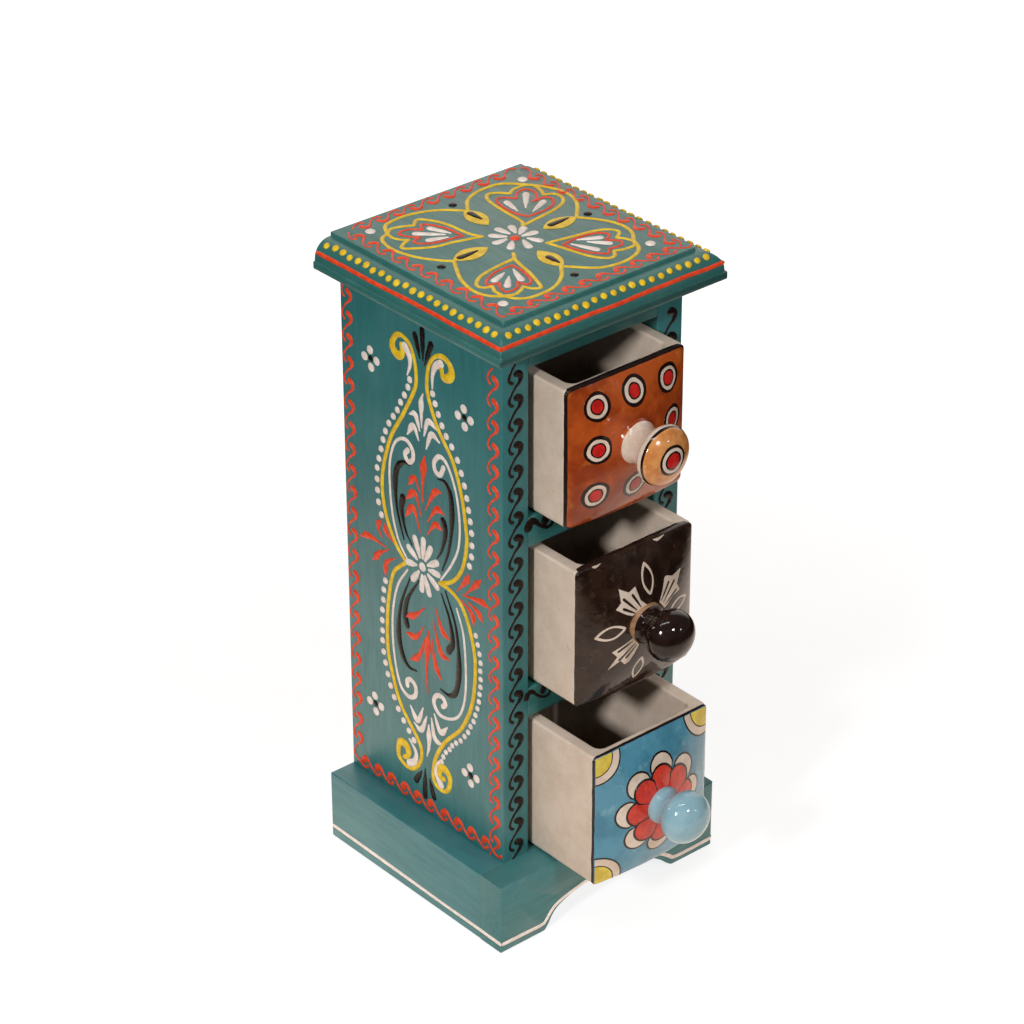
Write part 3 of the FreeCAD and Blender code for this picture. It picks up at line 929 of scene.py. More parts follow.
@dataclass(frozen=True)
class PlinthFront:
    """The plinth's front board, with its scalloped lower edge."""

    finish: Material
    half: float = 63.6
    front: float = -67.1
    back: float = -53.0
    top: float = 34.8
    ease: float = 0.5
    thick: float = COAT

    def outline(self) -> list[Point]:
        """Draw the scallop: a low arch between two short feet.

        Returns:
            The board's outline from the front, starting at the lower left corner.
        """
        left = [(-40.5, 0.0), (-38.6, 0.3), (-36.5, 2.8), (-34.4, 6.2), (-32.4, 8.4), (-29.5, 10.2)]
        arch = [(-24, 12.3), (-16, 14.2), (-8, 15.0), (-1.5, 15.2), (6, 14.9), (14, 13.6), (21, 11.6)]
        right = [(26.5, 9.3), (29.8, 7.2), (32.6, 5.2), (35.6, 2.5), (38.6, 0.3), (40.5, 0.0)]
        lower = smooth(left + arch + right, 1.2)
        edge = self.half + self.thick
        return [(-edge, 0.0), *lower, (edge, 0.0), (edge, self.top), (-edge, self.top)]

    def build(self) -> None:
        """Extrude the outline and ease its long edges."""
        front = self.front - self.thick
        rows = []
        for inset, y in ((self.ease, front), (0.0, front + self.ease), (0.0, self.back)):
            share = 1 - inset / self.half
            rows.append([metres((u * share, y, v + math.copysign(inset, self.top / 2 - v)))
                         for u, v in self.outline()])
        points, rings = stack(rows)
        faces = [tuple(rings[0]), *span(rings), tuple(reversed(rings[-1]))]
        board = make_object("plinth_front_painted", points, faces, [self.finish], Body.CABINET, soft=50)
        paint_over(board, "plinth_front")


@dataclass(frozen=True)
class Cap:
    """The cap: a slab whose lip, quarter round and raised field step up to the top."""

    finish: Material
    half: float = 63.1
    front: float = -67.2
    back: float = 54.7
    base: float = 290.7
    top: float = 305.0
    lip: float = 3.5
    step: float = 0.9
    radius: float = 8.0
    quirk: float = 0.8
    drop: float = 1.8
    corner: float = 0.9

    def profile(self) -> list[Point]:
        """Set out the section, from the lip's lower edge to the raised field.

        Returns:
            Its points, as (inset from the lip's edge, height over the base).
        """
        level = self.top - self.base - self.drop - self.radius
        rows = [(0.5, 0.0), (0.15, 0.15), (0.0, 0.5), (0.0, self.lip - 0.5), (0.15, self.lip - 0.15),
                (0.5, self.lip), (self.step - 0.1, self.lip + 0.05), (self.step, self.lip + 0.3)]
        for k in range(13):
            angle = math.radians(90 * k / 12)
            rows.append((self.step + self.radius * (1 - math.cos(angle)),
                         level + self.radius * math.sin(angle)))
        inner = self.step + self.radius + self.quirk
        high = self.top - self.base
        rows += [(inner, high - self.drop), (inner + 0.05, high - 0.45), (inner + 0.2, high - 0.12),
                 (inner + 0.5, high)]
        return rows

    def outline(self, inset: float) -> list[Point]:
        """Give the cap's outline from above.

        Args:
            inset: How far in from the lip's edge it runs, on three sides, in mm.

        Returns:
            The outline, from the back left corner to the back right one.
        """
        half, front = self.half - inset, self.front + inset
        side, ahead = half - self.corner, front + self.corner
        return [(-half, self.back), *arc((-side, ahead), self.corner, 180, 4),
                *arc((side, ahead), self.corner, 270, 4), (half, self.back)]

    def build(self) -> None:
        """Stack the outlines up the profile and close the slab."""
        rows = [[metres((x, y, self.base + z)) for x, y in self.outline(inset)]
                for inset, z in self.profile()]
        points, rings = stack(rows)
        faces = [tuple(reversed(rings[0])), *span(rings), tuple(rings[-1])]
        slab = make_object("cap_painted", points, faces, [self.finish], Body.CABINET, soft=32)
        paint_over(slab, "cap_board")


# Ornament

Palette = dict[Colour, Material]

# One scroll of a border: its line from the head to the tail, and its widths in mm
SCROLL = ((0, 0), (1.6, -0.7), (2.3, -2.3), (1.3, -4.3), (-0.8, -6.2), (-2.9, -9.0), (-3.8, -11.4),
          (-3.3, -13.1), (-2.2, -13.9))
SCROLL_WIDTHS = (2.7, 2.5, 1.7, 1.1, 0.95, 0.95, 1.05, 1.25)
TAIL = 4


@dataclass(frozen=True)
class ScrollChain:
    """A running border of hooked scrolls: each head hangs over the tail of the one before.

    With `lead` the tail of one more scroll runs in before the first head.
    """

    start: Point
    travel: Point
    side: Point
    pitch: float
    count: int
    size: float = 1.0
    weight: float = 1.0
    lead: bool = True

    def draw(self, paint: Paintwork, seed: int) -> None:
        """Draw the whole chain by hand, so that no two scrolls are quite alike.

        Args:
            paint: The paint to draw it with.
            seed: What the unevenness of the hand grows from.
        """
        hand = random.Random(seed)
        for k in range(-1 if self.lead else 0, self.count):
            shift = hand.uniform(-0.25, 0.25)
            size = self.size * hand.uniform(0.96, 1.05)
            first = 0 if k >= 0 else TAIL
            row = []
            for a, b in SCROLL[first:]:
                forward = k * self.pitch - b * size + shift
                row.append((self.start[0] + self.travel[0] * forward + self.side[0] * a * size,
                            self.start[1] + self.travel[1] * forward + self.side[1] * a * size))
            paint.stroke(row, [w * self.weight * hand.uniform(0.92, 1.08) for w in SCROLL_WIDTHS[first:]])


@dataclass
class SideDress:
    """The vine, the two oval frames and the borders on a side panel; h runs to the front."""

    name: str
    face: Flat
    colours: Palette
    seed: int
    clearance: float = 3.6

    def build(self) -> None:
        """Paint the whole panel."""
        self.borders()
        self.frames()
        self.daisy()
        self.sprays()

    def sheet(self, colour: Colour, part: str) -> Paintwork:
        """Start a mesh of one colour on this panel."""
        return Paintwork(f"{self.name}_{colour.value}_{part}", self.face, self.colours[colour], COAT)

    def borders(self) -> None:
        """Draw the red scroll chains along both long edges and the foot."""
        paint = self.sheet(Colour.RED, "border")
        ScrollChain((47.7, 274.5), (0, -1), (1, 0), 10.4, 23, 0.97).draw(paint, self.seed)
        ScrollChain((-48.4, 278.5), (0, -1), (1, 0), 10.75, 22, 0.97).draw(paint, self.seed + 1)
        ScrollChain((-45.2, 39.6), (1, 0), (0, 1), 9.4, 10, 0.86, 1.3).draw(paint, self.seed + 2)
        paint.lay()

    def frames(self) -> None:
        """Draw the yellow frames, the dots outside them and the white line inside."""
        yellow, white, black = (self.sheet(c, "frame") for c in (Colour.YELLOW, Colour.WHITE, Colour.BLACK))
        thick = (2.6, 4.6, 3.0, 2.1, 2.1, 2.2, 2.2, 2.1, 2.1, 2.2, 2.2, 2.2, 2.2, 2.2, 2.2, 2.1, 2.1, 2.0)
        upper_left = [(-12, 267), (-11.5, 263), (-14.5, 261), (-18, 263.5), (-17.5, 267.5), (-14, 271),
                      (-9.5, 271), (-5.5, 268), (-3, 261), (-2.5, 253), (-5, 246), (-12.5, 232.5),
                      (-20.5, 219), (-26, 202), (-27, 190), (-24.5, 178), (-18.5, 167), (-11.5, 160.5)]
        lower_left = [(-15.3, 56.7), (-13.2, 58.3), (-12.5, 61.7), (-15, 64), (-18, 63.5), (-19.5, 60),
                      (-19, 55), (-14.5, 52.5), (-9.8, 53), (-5.7, 56.7), (-3.2, 62), (-3.2, 67.5),
                      (-6.5, 72.5), (-17, 84), (-22.8, 98.3), (-25.5, 110), (-25.5, 125), (-23.8, 139),
                      (-20.7, 150.8), (-16.5, 156), (-11.5, 160.3)]
        upper_right = [(14.3, 266), (15.8, 262), (19.8, 263.7), (21, 267), (18.9, 270.5), (14.3, 271.6),
                       (9.3, 269), (5.8, 263), (4.6, 255), (5.8, 248), (11.8, 236), (21, 224.5),
                       (26.4, 211), (29.3, 196), (29.6, 186), (26.4, 173.7), (20, 165), (11.5, 160.3)]
        lower_right = [(12.5, 58.8), (10.3, 58.5), (9, 61.5), (11, 64.2), (14, 64), (16.5, 61.5),
                       (16.3, 57), (14, 53), (10.5, 51.8), (6.5, 53.2), (4.8, 58), (7.3, 68.3),
                       (14.3, 80), (24.3, 91), (31.4, 105), (34.3, 119), (34.5, 134), (30.5, 148),
                       (25, 156.5), (18, 159.8), (11.5, 160.3)]
        yellow.strokes((upper_left, lower_left, upper_right, lower_right), thick, 0.6)
        self.follow(white, upper_left[9:], 1, (175.5, 251.5))
        self.follow(white, upper_right[8:], -1, (176.5, 251.5))
        self.follow(white, lower_left[11:], -1, (71, 145))
        self.follow(white, lower_right[10:], 1, (69, 147), 3.75, 1.4)
        inner = [
            [(-9, 217.4), (-11, 214.5), (-8.5, 211.8), (-5.6, 214.5), (-6, 219), (-10.5, 222),
             (-17, 218.5), (-21, 209), (-21.9, 197), (-20.3, 181), (-16.5, 169.5), (-10.3, 162)],
            [(14.8, 218.7), (12.7, 214.5), (9.5, 214.8), (8.7, 219), (12.5, 223.2), (17.7, 220.8),
             (23, 210), (25.2, 196), (24.3, 184), (20, 174), (12.3, 162.4)],
            [(-12.3, 96.5), (-12.3, 99), (-9.5, 100.6), (-6.5, 98.3), (-7, 93.5), (-11.5, 91),
             (-17, 94), (-20.3, 104), (-22, 118), (-21.2, 133), (-17.5, 146.5), (-10.7, 157)],
            [(12.3, 97.2), (14.2, 99.5), (11.8, 102), (7.6, 100.5), (6.2, 96), (10, 92), (17, 93),
             (23.5, 98), (27.5, 108.5), (28.4, 123), (27, 141), (22.7, 152.5)],
        ]
        white.strokes(inner, (2.7, 2.5, 1.5, 1.4, 1.4, 1.4, 1.1))
        commas = [[(-9.8, 267), (-6.8, 263.5), (-6.6, 259), (-8.3, 254.1)],
                  [(13.9, 267.8), (10.2, 265.2), (8.4, 260), (8.3, 254.1)],
                  [(-11.9, 55), (-8, 58.2), (-7, 63.5), (-11.5, 68.3)],
                  [(10.2, 54.6), (7.2, 59), (7.8, 64), (11.4, 68.8)]]
        white.strokes(commas, (4.2, 3.2, 2.0, 0.9), 0.6)
        outer = [[(-7.8, 210.5), (-12.5, 210), (-16.8, 205), (-18.2, 196), (-17, 184), (-12.8, 171.6)],
                 [(11, 211.6), (16, 212), (19.5, 206), (19.9, 193), (17.6, 179), (13.1, 167.4)],
                 [(-5.7, 107.1), (-11, 106.8), (-15.5, 111.5), (-17.7, 122), (-15.8, 137), (-9, 153.8)],
                 [(11, 105.7), (17, 105.2), (21.5, 109.5), (23.8, 122), (22, 142), (15.2, 157.9)]]
        black.strokes(outer, (0.9, 3.4, 3.8, 2.2, 1.6, 0.9))
        heads = [[(-12.9, 192.4), (-14.2, 186), (-11.5, 176.5), (-7.3, 171.2)],
                 [(14.3, 192.4), (15.6, 187), (13, 177.5), (9.8, 172)],
                 [(-11.9, 128.3), (-13, 134), (-10.5, 143), (-2.8, 155)],
                 [(16.8, 128.3), (19.6, 134), (17.5, 145), (12.3, 155.4)]]
        black.strokes(heads, (4.0, 3.0, 1.7, 0.9))
        drops = [((-2.75, 274.9), (0.2, 265.3)), ((2, 279), (2.25, 265)), ((7.7, 274.5), (3.2, 263)),
                 ((-7.3, 48.3), (-3.2, 55)), ((-1.1, 42.9), (-0.7, 57.5)), ((5.2, 45.4), (2.4, 53.5))]
        black.strokes(drops, (3.6, 3.0, 0.9))
        for u, v in ((-33.2, 252), (28.9, 248.5), (-35.5, 75.4), (31, 70.2)):
            black.dot(u, v, 1.6, 0.5)
            for turn in (4, 94, 184, 274):
                white.dot(*polar((u, v), 4.1, math.radians(turn)), 2.1, 0.6)
        for paint in (yellow, white, black):
            paint.lay()

    def follow(self, paint: Paintwork, row: Sequence[Point], side: int, heights: Point,
               pitch: float = 5.0, radius: float = 1.65) -> None:
        """Set a row of dots beside a line.

        Args:
            paint: The paint of the dots.
            row: The points that the line passes through.
            side: 1 or -1 for the side that they are on.
            heights: The heights between which there are dots.
            pitch: Their spacing along the line, in mm.
            radius: Their radius in mm.
        """
        fine = smooth(row, 0.5)
        gone = pitch
        hand = random.Random(self.seed + len(row))
        for a, b in zip(fine, fine[1:]):
            gone += math.dist(a, b)
            if gone >= pitch and heights[0] < a[1] < heights[1]:
                gone = 0.0
                off = side * (self.clearance + hand.uniform(-0.25, 0.25)) / math.dist(a, b)
                paint.dot(a[0] + (b[1] - a[1]) * off, a[1] - (b[0] - a[0]) * off, radius, 0.75)

    def daisy(self) -> None:
        """Draw the white daisy where the two frames meet."""
        white = self.sheet(Colour.WHITE, "daisy")
        middle = (-0.2, 163.3)
        tips = ((-5.2, 175.5), (0.6, 177), (5.4, 174.8), (9.5, 169.5), (10.3, 164), (9.5, 157.3),
                (4.1, 151.5), (-1, 151.5), (-7, 154.2), (-10.5, 161.2), (-9.5, 169))
        for tip in tips:
            share = 4.6 / math.dist(tip, middle)
            root = tuple(m + (t - m) * share for t, m in zip(tip, middle))
            white.stroke((tip, root), (3.4, 3.3, 1.7), 0.65)
        white.dot(-0.25, 163.2, 2.2)
        white.lay()

    def sprays(self) -> None:
        """Draw the leaf sprays: white above and below, red inside the frames and beside the daisy."""
        white = self.sheet(Colour.WHITE, "sprays")
        stems = ([(1.8, 248.7), (0.6, 244.5), (0.6, 232.4)], [(2.3, 82.5), (2.3, 71.7), (0.8, 65.4)])
        white.strokes(stems, (1.0, 3.6, 2.0, 0.8))
        leaves = [[(-0.7, 230.3), (-3.5, 236.8), (-7.3, 235.8)], [(2.2, 229.1), (5, 237), (11, 235.3)],
                  [(-1.5, 225.3), (-5, 231), (-9, 225.3)], [(3.5, 223.3), (7, 231.5), (12.3, 229.9)],
                  [(-1.5, 89.6), (-5.5, 81.2), (-10.3, 86.7)], [(1, 86.3), (-3, 77.5), (-7.8, 78.8)],
                  [(4.3, 87.1), (6.6, 77.4), (12.7, 76.7)], [(6.4, 90.4), (10.5, 82.8), (15.2, 87.5)]]
        white.strokes(leaves, (0.9, 2.4, 3.2, 1.0))
        white.lay()
        red = self.sheet(Colour.RED, "sprays")
        stems = ([(2.25, 218.7), (1, 210.3), (0.6, 196.2)], [(3.1, 131.7), (1.4, 112), (2, 99.2)])
        red.strokes(stems, (1.2, 4.8, 2.2, 1.2, 0.8))
        leaves = [
            [(-8.6, 200.8), (-4.8, 205.8), (-1.5, 200.3)], [(13.1, 205.8), (8.5, 204), (2.3, 192.8)],
            [(-10.7, 192.8), (-4.8, 198.2), (-0.7, 188.7)], [(14.8, 195.8), (9.8, 196.2), (3.5, 187.4)],
            [(-11.1, 184.1), (-6, 190.4), (-1.5, 180.3)], [(13.1, 187.4), (8.6, 188.2), (3.5, 181.2)],
            [(-12.3, 132.5), (-5.7, 136.3), (0.8, 142.9)], [(-12.3, 124.2), (-5.7, 125), (0.2, 132.9)],
            [(-9.8, 111.3), (-4, 115.8), (0.6, 126.7)], [(17.3, 134.2), (12.7, 136.7), (8.1, 146.3)],
            [(17.3, 123.8), (11.4, 125), (6.4, 138.8)], [(11.4, 110.8), (7.7, 116.7), (5.3, 129.2)],
            [(-29, 174.1), (-30.7, 170.3), (-28.2, 165.8)], [(-25.7, 173.7), (-25, 170), (-19, 166.2)],
            [(-43.2, 160), (-37.3, 162.5), (-25.3, 162)], [(-34.8, 151.3), (-30.3, 156.7), (-23.6, 161.5)],
            [(-26.3, 147.5), (-25.3, 154.2), (-19, 159.2)], [(30.2, 173.3), (30.2, 171), (23.1, 161.6)],
            [(38.9, 174.1), (35.6, 170.3), (28.1, 162)], [(44.3, 162.8), (38.5, 163.3), (26.8, 161.3)],
            [(39.8, 153.8), (36.4, 157.5), (30.2, 159.2)], [(33.9, 149.6), (32.7, 154.6), (25.6, 158.3)],
        ]
        red.strokes(leaves, (0.9, 3.6, 2.4, 1.1, 0.7))
        red.lay()


@dataclass
class TopDress:
    """The ornament on the cap's field: four hearts in a ring of lobes, almonds and a scroll border."""

    colours: Palette
    face: Flat = Flat((0, 0, 305), (1, 0, 0), (0, 1, 0), (0, 0, 1))

    def build(self) -> None:
        """Paint the field."""
        self.border()
        self.lobes()
        self.hearts()
        self.middle()

    def sheet(self, colour: Colour, part: str, lift: float = 0.0) -> Paintwork:
        """Start a mesh of one colour on the field, or `lift` mm over it."""
        return Paintwork(f"cap_{colour.value}_{part}", self.face, self.colours[colour], lift)

    def border(self) -> None:
        """Draw the red scrolls along the four edges, and the corner and side dots."""
        red = self.sheet(Colour.RED, "border")
        ScrollChain((-47.6, 44.5), (0, -1), (1, 0), 9.6, 10, 0.9).draw(red, 41)
        ScrollChain((48.4, -48.5), (0, 1), (-1, 0), 9.6, 10, 0.9).draw(red, 42)
        ScrollChain((-40.5, 50.0), (1, 0), (0, -1), 9.4, 9, 0.88).draw(red, 43)
        ScrollChain((-43.5, -52.3), (1, 0), (0, 1), 9.4, 10, 0.88).draw(red, 44)
        red.lay()
        white = self.sheet(Colour.WHITE, "corner_dots")
        for u, v in ((-40.5, 43.7), (42.6, 41.4), (-42.5, -44.8), (41.1, -42.5)):
            white.dot(u, v, 2.3)
        white.lay()
        black = self.sheet(Colour.BLACK, "dots")
        for u, v in ((2.8, 41.2), (-39.6, -2.1), (40.7, -3.4), (-2.8, -43.8)):
            black.dot(u, v, 1.9)
        black.lay()

    def lobes(self) -> None:
        """Draw the yellow outer lobes and the hearts' yellow frames."""
        yellow = self.sheet(Colour.YELLOW, "lines")
        lobes = [
            [(2.8, 33.7), (-2.9, 39.5), (-9.8, 43.7), (-18, 46), (-25.2, 46), (-32.2, 44), (-36.4, 37.5)],
            [(-36.4, 37.5), (-41.4, 34.8), (-44, 28), (-44, 20), (-41, 10.5), (-35.6, 2.2), (-32.2, -1.3)],
            [(4.8, 33.7), (10.2, 40.2), (17, 44), (25, 45.3), (33, 44), (39.8, 37.5)],
            [(39.8, 37.5), (44.8, 30), (47.7, 22), (47.3, 14), (43.5, 6.5), (34.8, -2.8)],
            [(34.8, -2.8), (38.6, -7.8), (42.5, -14.8), (44.2, -22), (42.5, -29.5), (37.5, -36)],
            [(37.5, -36), (35.5, -41), (31.5, -45), (25, -47.5), (17, -47.8), (8.5, -45), (-0.6, -35.5)],
            [(-32.2, -1.3), (-36, -7.5), (-41.3, -17), (-44.1, -28), (-42.2, -35.5), (-37.5, -40.2)],
            [(-37.5, -40.2), (-35.5, -44.5), (-31, -47.5), (-24, -48), (-16, -46.6), (-8, -41.5),
             (-1.5, -34)],
        ]
        yellow.strokes(lobes, (1.9, 1.8, 1.9))
        frames = [
            [[(-7.9, 9.1), (-10.3, 15), (-11.4, 27.5), (-13.7, 34.5), (-18, 39.8), (-22.9, 36.4)],
             [(-22.9, 36.4), (-27, 38.6), (-32.2, 40), (-36.4, 37.5)],
             [(-36.4, 37.5), (-37.3, 33), (-35.8, 29), (-33.7, 26.8)],
             [(-33.7, 26.8), (-38, 25), (-40.2, 21.4), (-30, 14.7), (-21.4, 12.9), (-7.9, 9.1)]],
            [[(12.1, 6), (14.4, 9.5), (15.5, 22), (17.2, 34), (20.9, 39.5), (25.5, 38), (29, 34.1)],
             [(29, 34.1), (33.2, 36.4), (39.4, 36.8)],
             [(39.4, 36.8), (42.3, 33.5), (41.5, 28.3), (39.4, 23.7)],
             [(39.4, 23.7), (43.4, 21.2), (43.8, 17), (40, 12), (32, 9), (22.5, 7.5), (12.1, 6)]],
            [[(8.6, -13.6), (20.9, -15.9), (30.2, -17.5), (36.5, -20.2), (39, -25), (34.4, -29)],
             [(34.4, -29), (36.3, -32), (37.5, -35.9)],
             [(37.5, -35.9), (34.8, -39.3), (29, -39.3), (24.8, -37.8)],
             [(24.8, -37.8), (21.5, -41.5), (17.5, -40.7), (13.5, -34), (10.6, -22), (8.6, -13.6)]],
            [[(-8.7, -12.1), (-12, -15.7), (-22, -17), (-33, -19.5), (-39.5, -24.5), (-39, -28.5),
              (-35.6, -29.8)],
             [(-35.6, -29.8), (-37.6, -34), (-37.9, -39.4)],
             [(-37.9, -39.4), (-33.5, -41.4), (-29.1, -40.2), (-26, -38.2)],
             [(-26, -38.2), (-24.3, -42), (-21, -43.6), (-18.5, -38.5), (-15.5, -30), (-12.3, -18),
              (-8.7, -12.1)]],
        ]
        for rows in frames:
            yellow.strokes(rows, (1.8,))
        yellow.lay()

    def hearts(self) -> None:
        """Draw the red hearts and the three white strokes in each."""
        red = self.sheet(Colour.RED, "hearts")
        hearts = [
            [[(-13.7, 14.8), (-14, 23), (-16, 30), (-19.8, 34.8), (-22.9, 30.6)],
             [(-22.9, 30.6), (-27.5, 34.9), (-32.9, 34.1), (-31.4, 29), (-28.3, 25.6)],
             [(-28.3, 25.6), (-32.9, 24.1), (-32.2, 21), (-26.8, 17.5), (-13.7, 14.8)]],
            [[(19.8, 11.4), (17.6, 17.5), (17.8, 26), (20.5, 33), (24.5, 32.5), (27.8, 28.3)],
             [(27.8, 28.3), (31.7, 32.4), (36.3, 33.3), (38.4, 29.5), (36, 24.3), (31.7, 21.4)],
             [(31.7, 21.4), (37.8, 21.4), (39.2, 17.5), (34.8, 12.9), (27.1, 11.2), (19.8, 11.4)]],
            [[(12.8, -19.4), (20.9, -18.2), (30.2, -19.8), (34, -24), (29.4, -27.8)],
             [(29.4, -27.8), (33.2, -32.2), (30.6, -35.6), (24.4, -34.8)],
             [(24.4, -34.8), (20.9, -37.8), (16.3, -32.5), (13.4, -25.5), (12.8, -19.4)]],
            [[(-16.4, -20.2), (-25.2, -20.5), (-32.9, -23.6), (-36, -27.5), (-31.4, -29.4)],
             [(-31.4, -29.4), (-33.9, -33.2), (-34.5, -37.5), (-29, -37.6), (-25.2, -33.6)],
             [(-25.2, -33.6), (-22.9, -38.2), (-19.1, -34.8), (-16.8, -27.1), (-16.4, -20.2)]],
        ]
        for rows in hearts:
            red.strokes(rows, (1.4,))
        red.lay()
        white = self.sheet(Colour.WHITE, "strokes")
        strokes = [
            ((-27.5, 29.5), (-18.7, 20.6)), ((-19.5, 29.5), (-16, 20.2)), ((-27.2, 21), (-19.5, 17.9)),
            ((22.1, 27.9), (20, 18.7)), ((34, 29.1), (24.8, 18.7)), ((34.4, 18.3), (24.8, 13.8)),
            ((29, -24.4), (20.2, -19.8)), ((28.2, -30.9), (22.1, -24)), ((20.2, -32.1), (15.5, -21.3)),
            ((-31.4, -26.3), (-23.7, -23.6)), ((-30.6, -33.6), (-24.5, -27.5)),
            ((-22.4, -32.8), (-18.7, -23.6)),
        ]
        white.strokes(strokes, (3.3, 2.6, 0.9), 0.6)
        white.lay()

    def middle(self) -> None:
        """Draw the daisy in the middle and the four almonds with their seeds."""
        white = self.sheet(Colour.WHITE, "daisy")
        petals = [((1.7, 9.8), (2.5, 3.7)), ((7.5, 7.9), (5.2, 2.9)), ((10.5, 3.7), (5.9, 0.6)),
                  ((11.3, -2.5), (5.5, -1.7)), ((7.8, -9.8), (5.5, -5.2)), ((0.5, -11.3), (2.6, -5.5)),
                  ((-6, -7.1), (-1.8, -3.2)), ((-7.5, 0.5), (-2.5, 0.1)), ((-4.3, 6.8), (-0.6, 2.2))]
        white.strokes(petals, (3.7, 3.2, 1.6), 0.6)
        white.lay()
        red = self.sheet(Colour.RED, "eye")
        red.dot(1.5, -1.3, 2.3)
        red.lay()
        yellow = self.sheet(Colour.YELLOW, "almonds")
        black = self.sheet(Colour.BLACK, "seeds", 0.2)
        almonds = [((1.3, 16), (3.1, 33.7), 4.6, (2.8, 29.5), (2.7, 22.2)),
                   ((-32.2, -0.9), (-13.1, -0.9), 4.9, (-28.3, -0.9), (-19, -0.6)),
                   ((34.8, -2.8), (16.5, -2.1), 4.6, (21.3, -1.7), (31.2, -1.4)),
                   ((-1, -34.8), (0.3, -16.9), 4.6, (-0.1, -24.8), (-0.3, -31.3))]
        for low, high, half, head, tip in almonds:
            yellow.patch(almond(low, high, half), 0.3)
            black.stroke((head, tip), (3.6, 3.0, 1.4), 0.5)
        yellow.lay()
        black.lay()


def almond(low: Point, high: Point, half: float, count: int = 12) -> list[Point]:
    """Give the outline of a leaf shape between two tips.

    Args:
        low: One tip.
        high: The other tip.
        half: Half of its greatest width.
        count: The points along each side.

    Returns:
        The outline.
    """
    length = math.dist(low, high)
    ahead = ((high[0] - low[0]) / length, (high[1] - low[1]) / length)
    points = []
    for side in (1, -1):
        for k in range(count):
            t = k / count if side > 0 else 1 - k / count
            off = side * half * math.sin(math.pi * t) ** 0.85
            points.append((low[0] + ahead[0] * length * t - ahead[1] * off,
                           low[1] + ahead[1] * length * t + ahead[0] * off))
    return points


@dataclass
class MouldingDress:
    """The red line and the row of yellow dots round the cap's moulding, at angles up its round."""

    colours: Palette
    half: float = 62.2
    front: float = 66.3
    back: float = 54.0
    line_angle: float = 23.0
    line_width: float = 1.9
    dot_angle: float = 57.0
    dot_radius: float = 1.6
    dots: int = 22

    def build(self) -> None:
        """Paint the three sides, each from its start to its end along the edge."""
        past = 0.3
        ahead, across = self.front + past, self.half + past
        sides = (("left", Ovolo((-self.half, 0, 0), (0, -1, 0), (-1, 0, 0)), -self.back, ahead),
                 ("front", Ovolo((0, -self.front, 0), (1, 0, 0), (0, -1, 0)), -across, across),
                 ("right", Ovolo((self.half, 0, 0), (0, -1, 0), (1, 0, 0)), -self.back, ahead))
        for name, surface, start, end in sides:
            hand = random.Random(len(name))
            red = Paintwork(f"cap_{name}_red_line", surface, self.colours[Colour.RED])
            low, high = self.between(surface, start, end, self.line_angle)
            self.bead(red, [(low + (high - low) * k / 12, self.line_angle + hand.uniform(-1.5, 1.5))
                            for k in range(13)])
            red.lay()
            yellow = Paintwork(f"cap_{name}_yellow_dots", surface, self.colours[Colour.YELLOW])
            low, high = self.between(surface, start + 1, end - 1.8, self.dot_angle + 1)
            for k in range(self.dots):
                place = low + (high - low) * (k + 0.5) / self.dots
                angle = self.dot_angle + hand.uniform(-4, 4)
                radius = self.dot_radius * hand.uniform(0.9, 1.1)
                yellow.dot(place, angle, radius, 0.9, math.degrees(1 / surface.radius))
            yellow.lay()

    def between(self, surface: Ovolo, start: float, end: float, angle: float) -> Point:
        """Keep a line on the round short of the mitres.

        Args:
            surface: The side.
            start: Where the side starts; only the front starts at a mitre.
            end: Where it ends.
            angle: How far up the round the line runs, in degrees.

        Returns:
            Where the line starts and ends.
        """
        inset = surface.radius * (1 - math.cos(math.radians(angle)))
        return (start + (inset if surface.out == (0, -1, 0) else 0), end - inset)

    def bead(self, paint: Paintwork, row: Sequence[Point]) -> None:
        """Draw a line as a bead.

        Args:
            paint: The paint to draw it with.
            row: Its points along the side, in mm and in degrees up the round.
        """
        row = smooth(row, 2.0)
        rings = []
        half = math.degrees(self.line_width / 2 / paint.surface.radius)
        for i, (u, v) in enumerate(row):
            thin = 0.7 if i in (0, len(row) - 1) else 1.0
            rings.append([paint.spot(u, v + s * half * thin, 0.45 * h) for s, h in BEAD_SECTION])
        paint.close(rings)


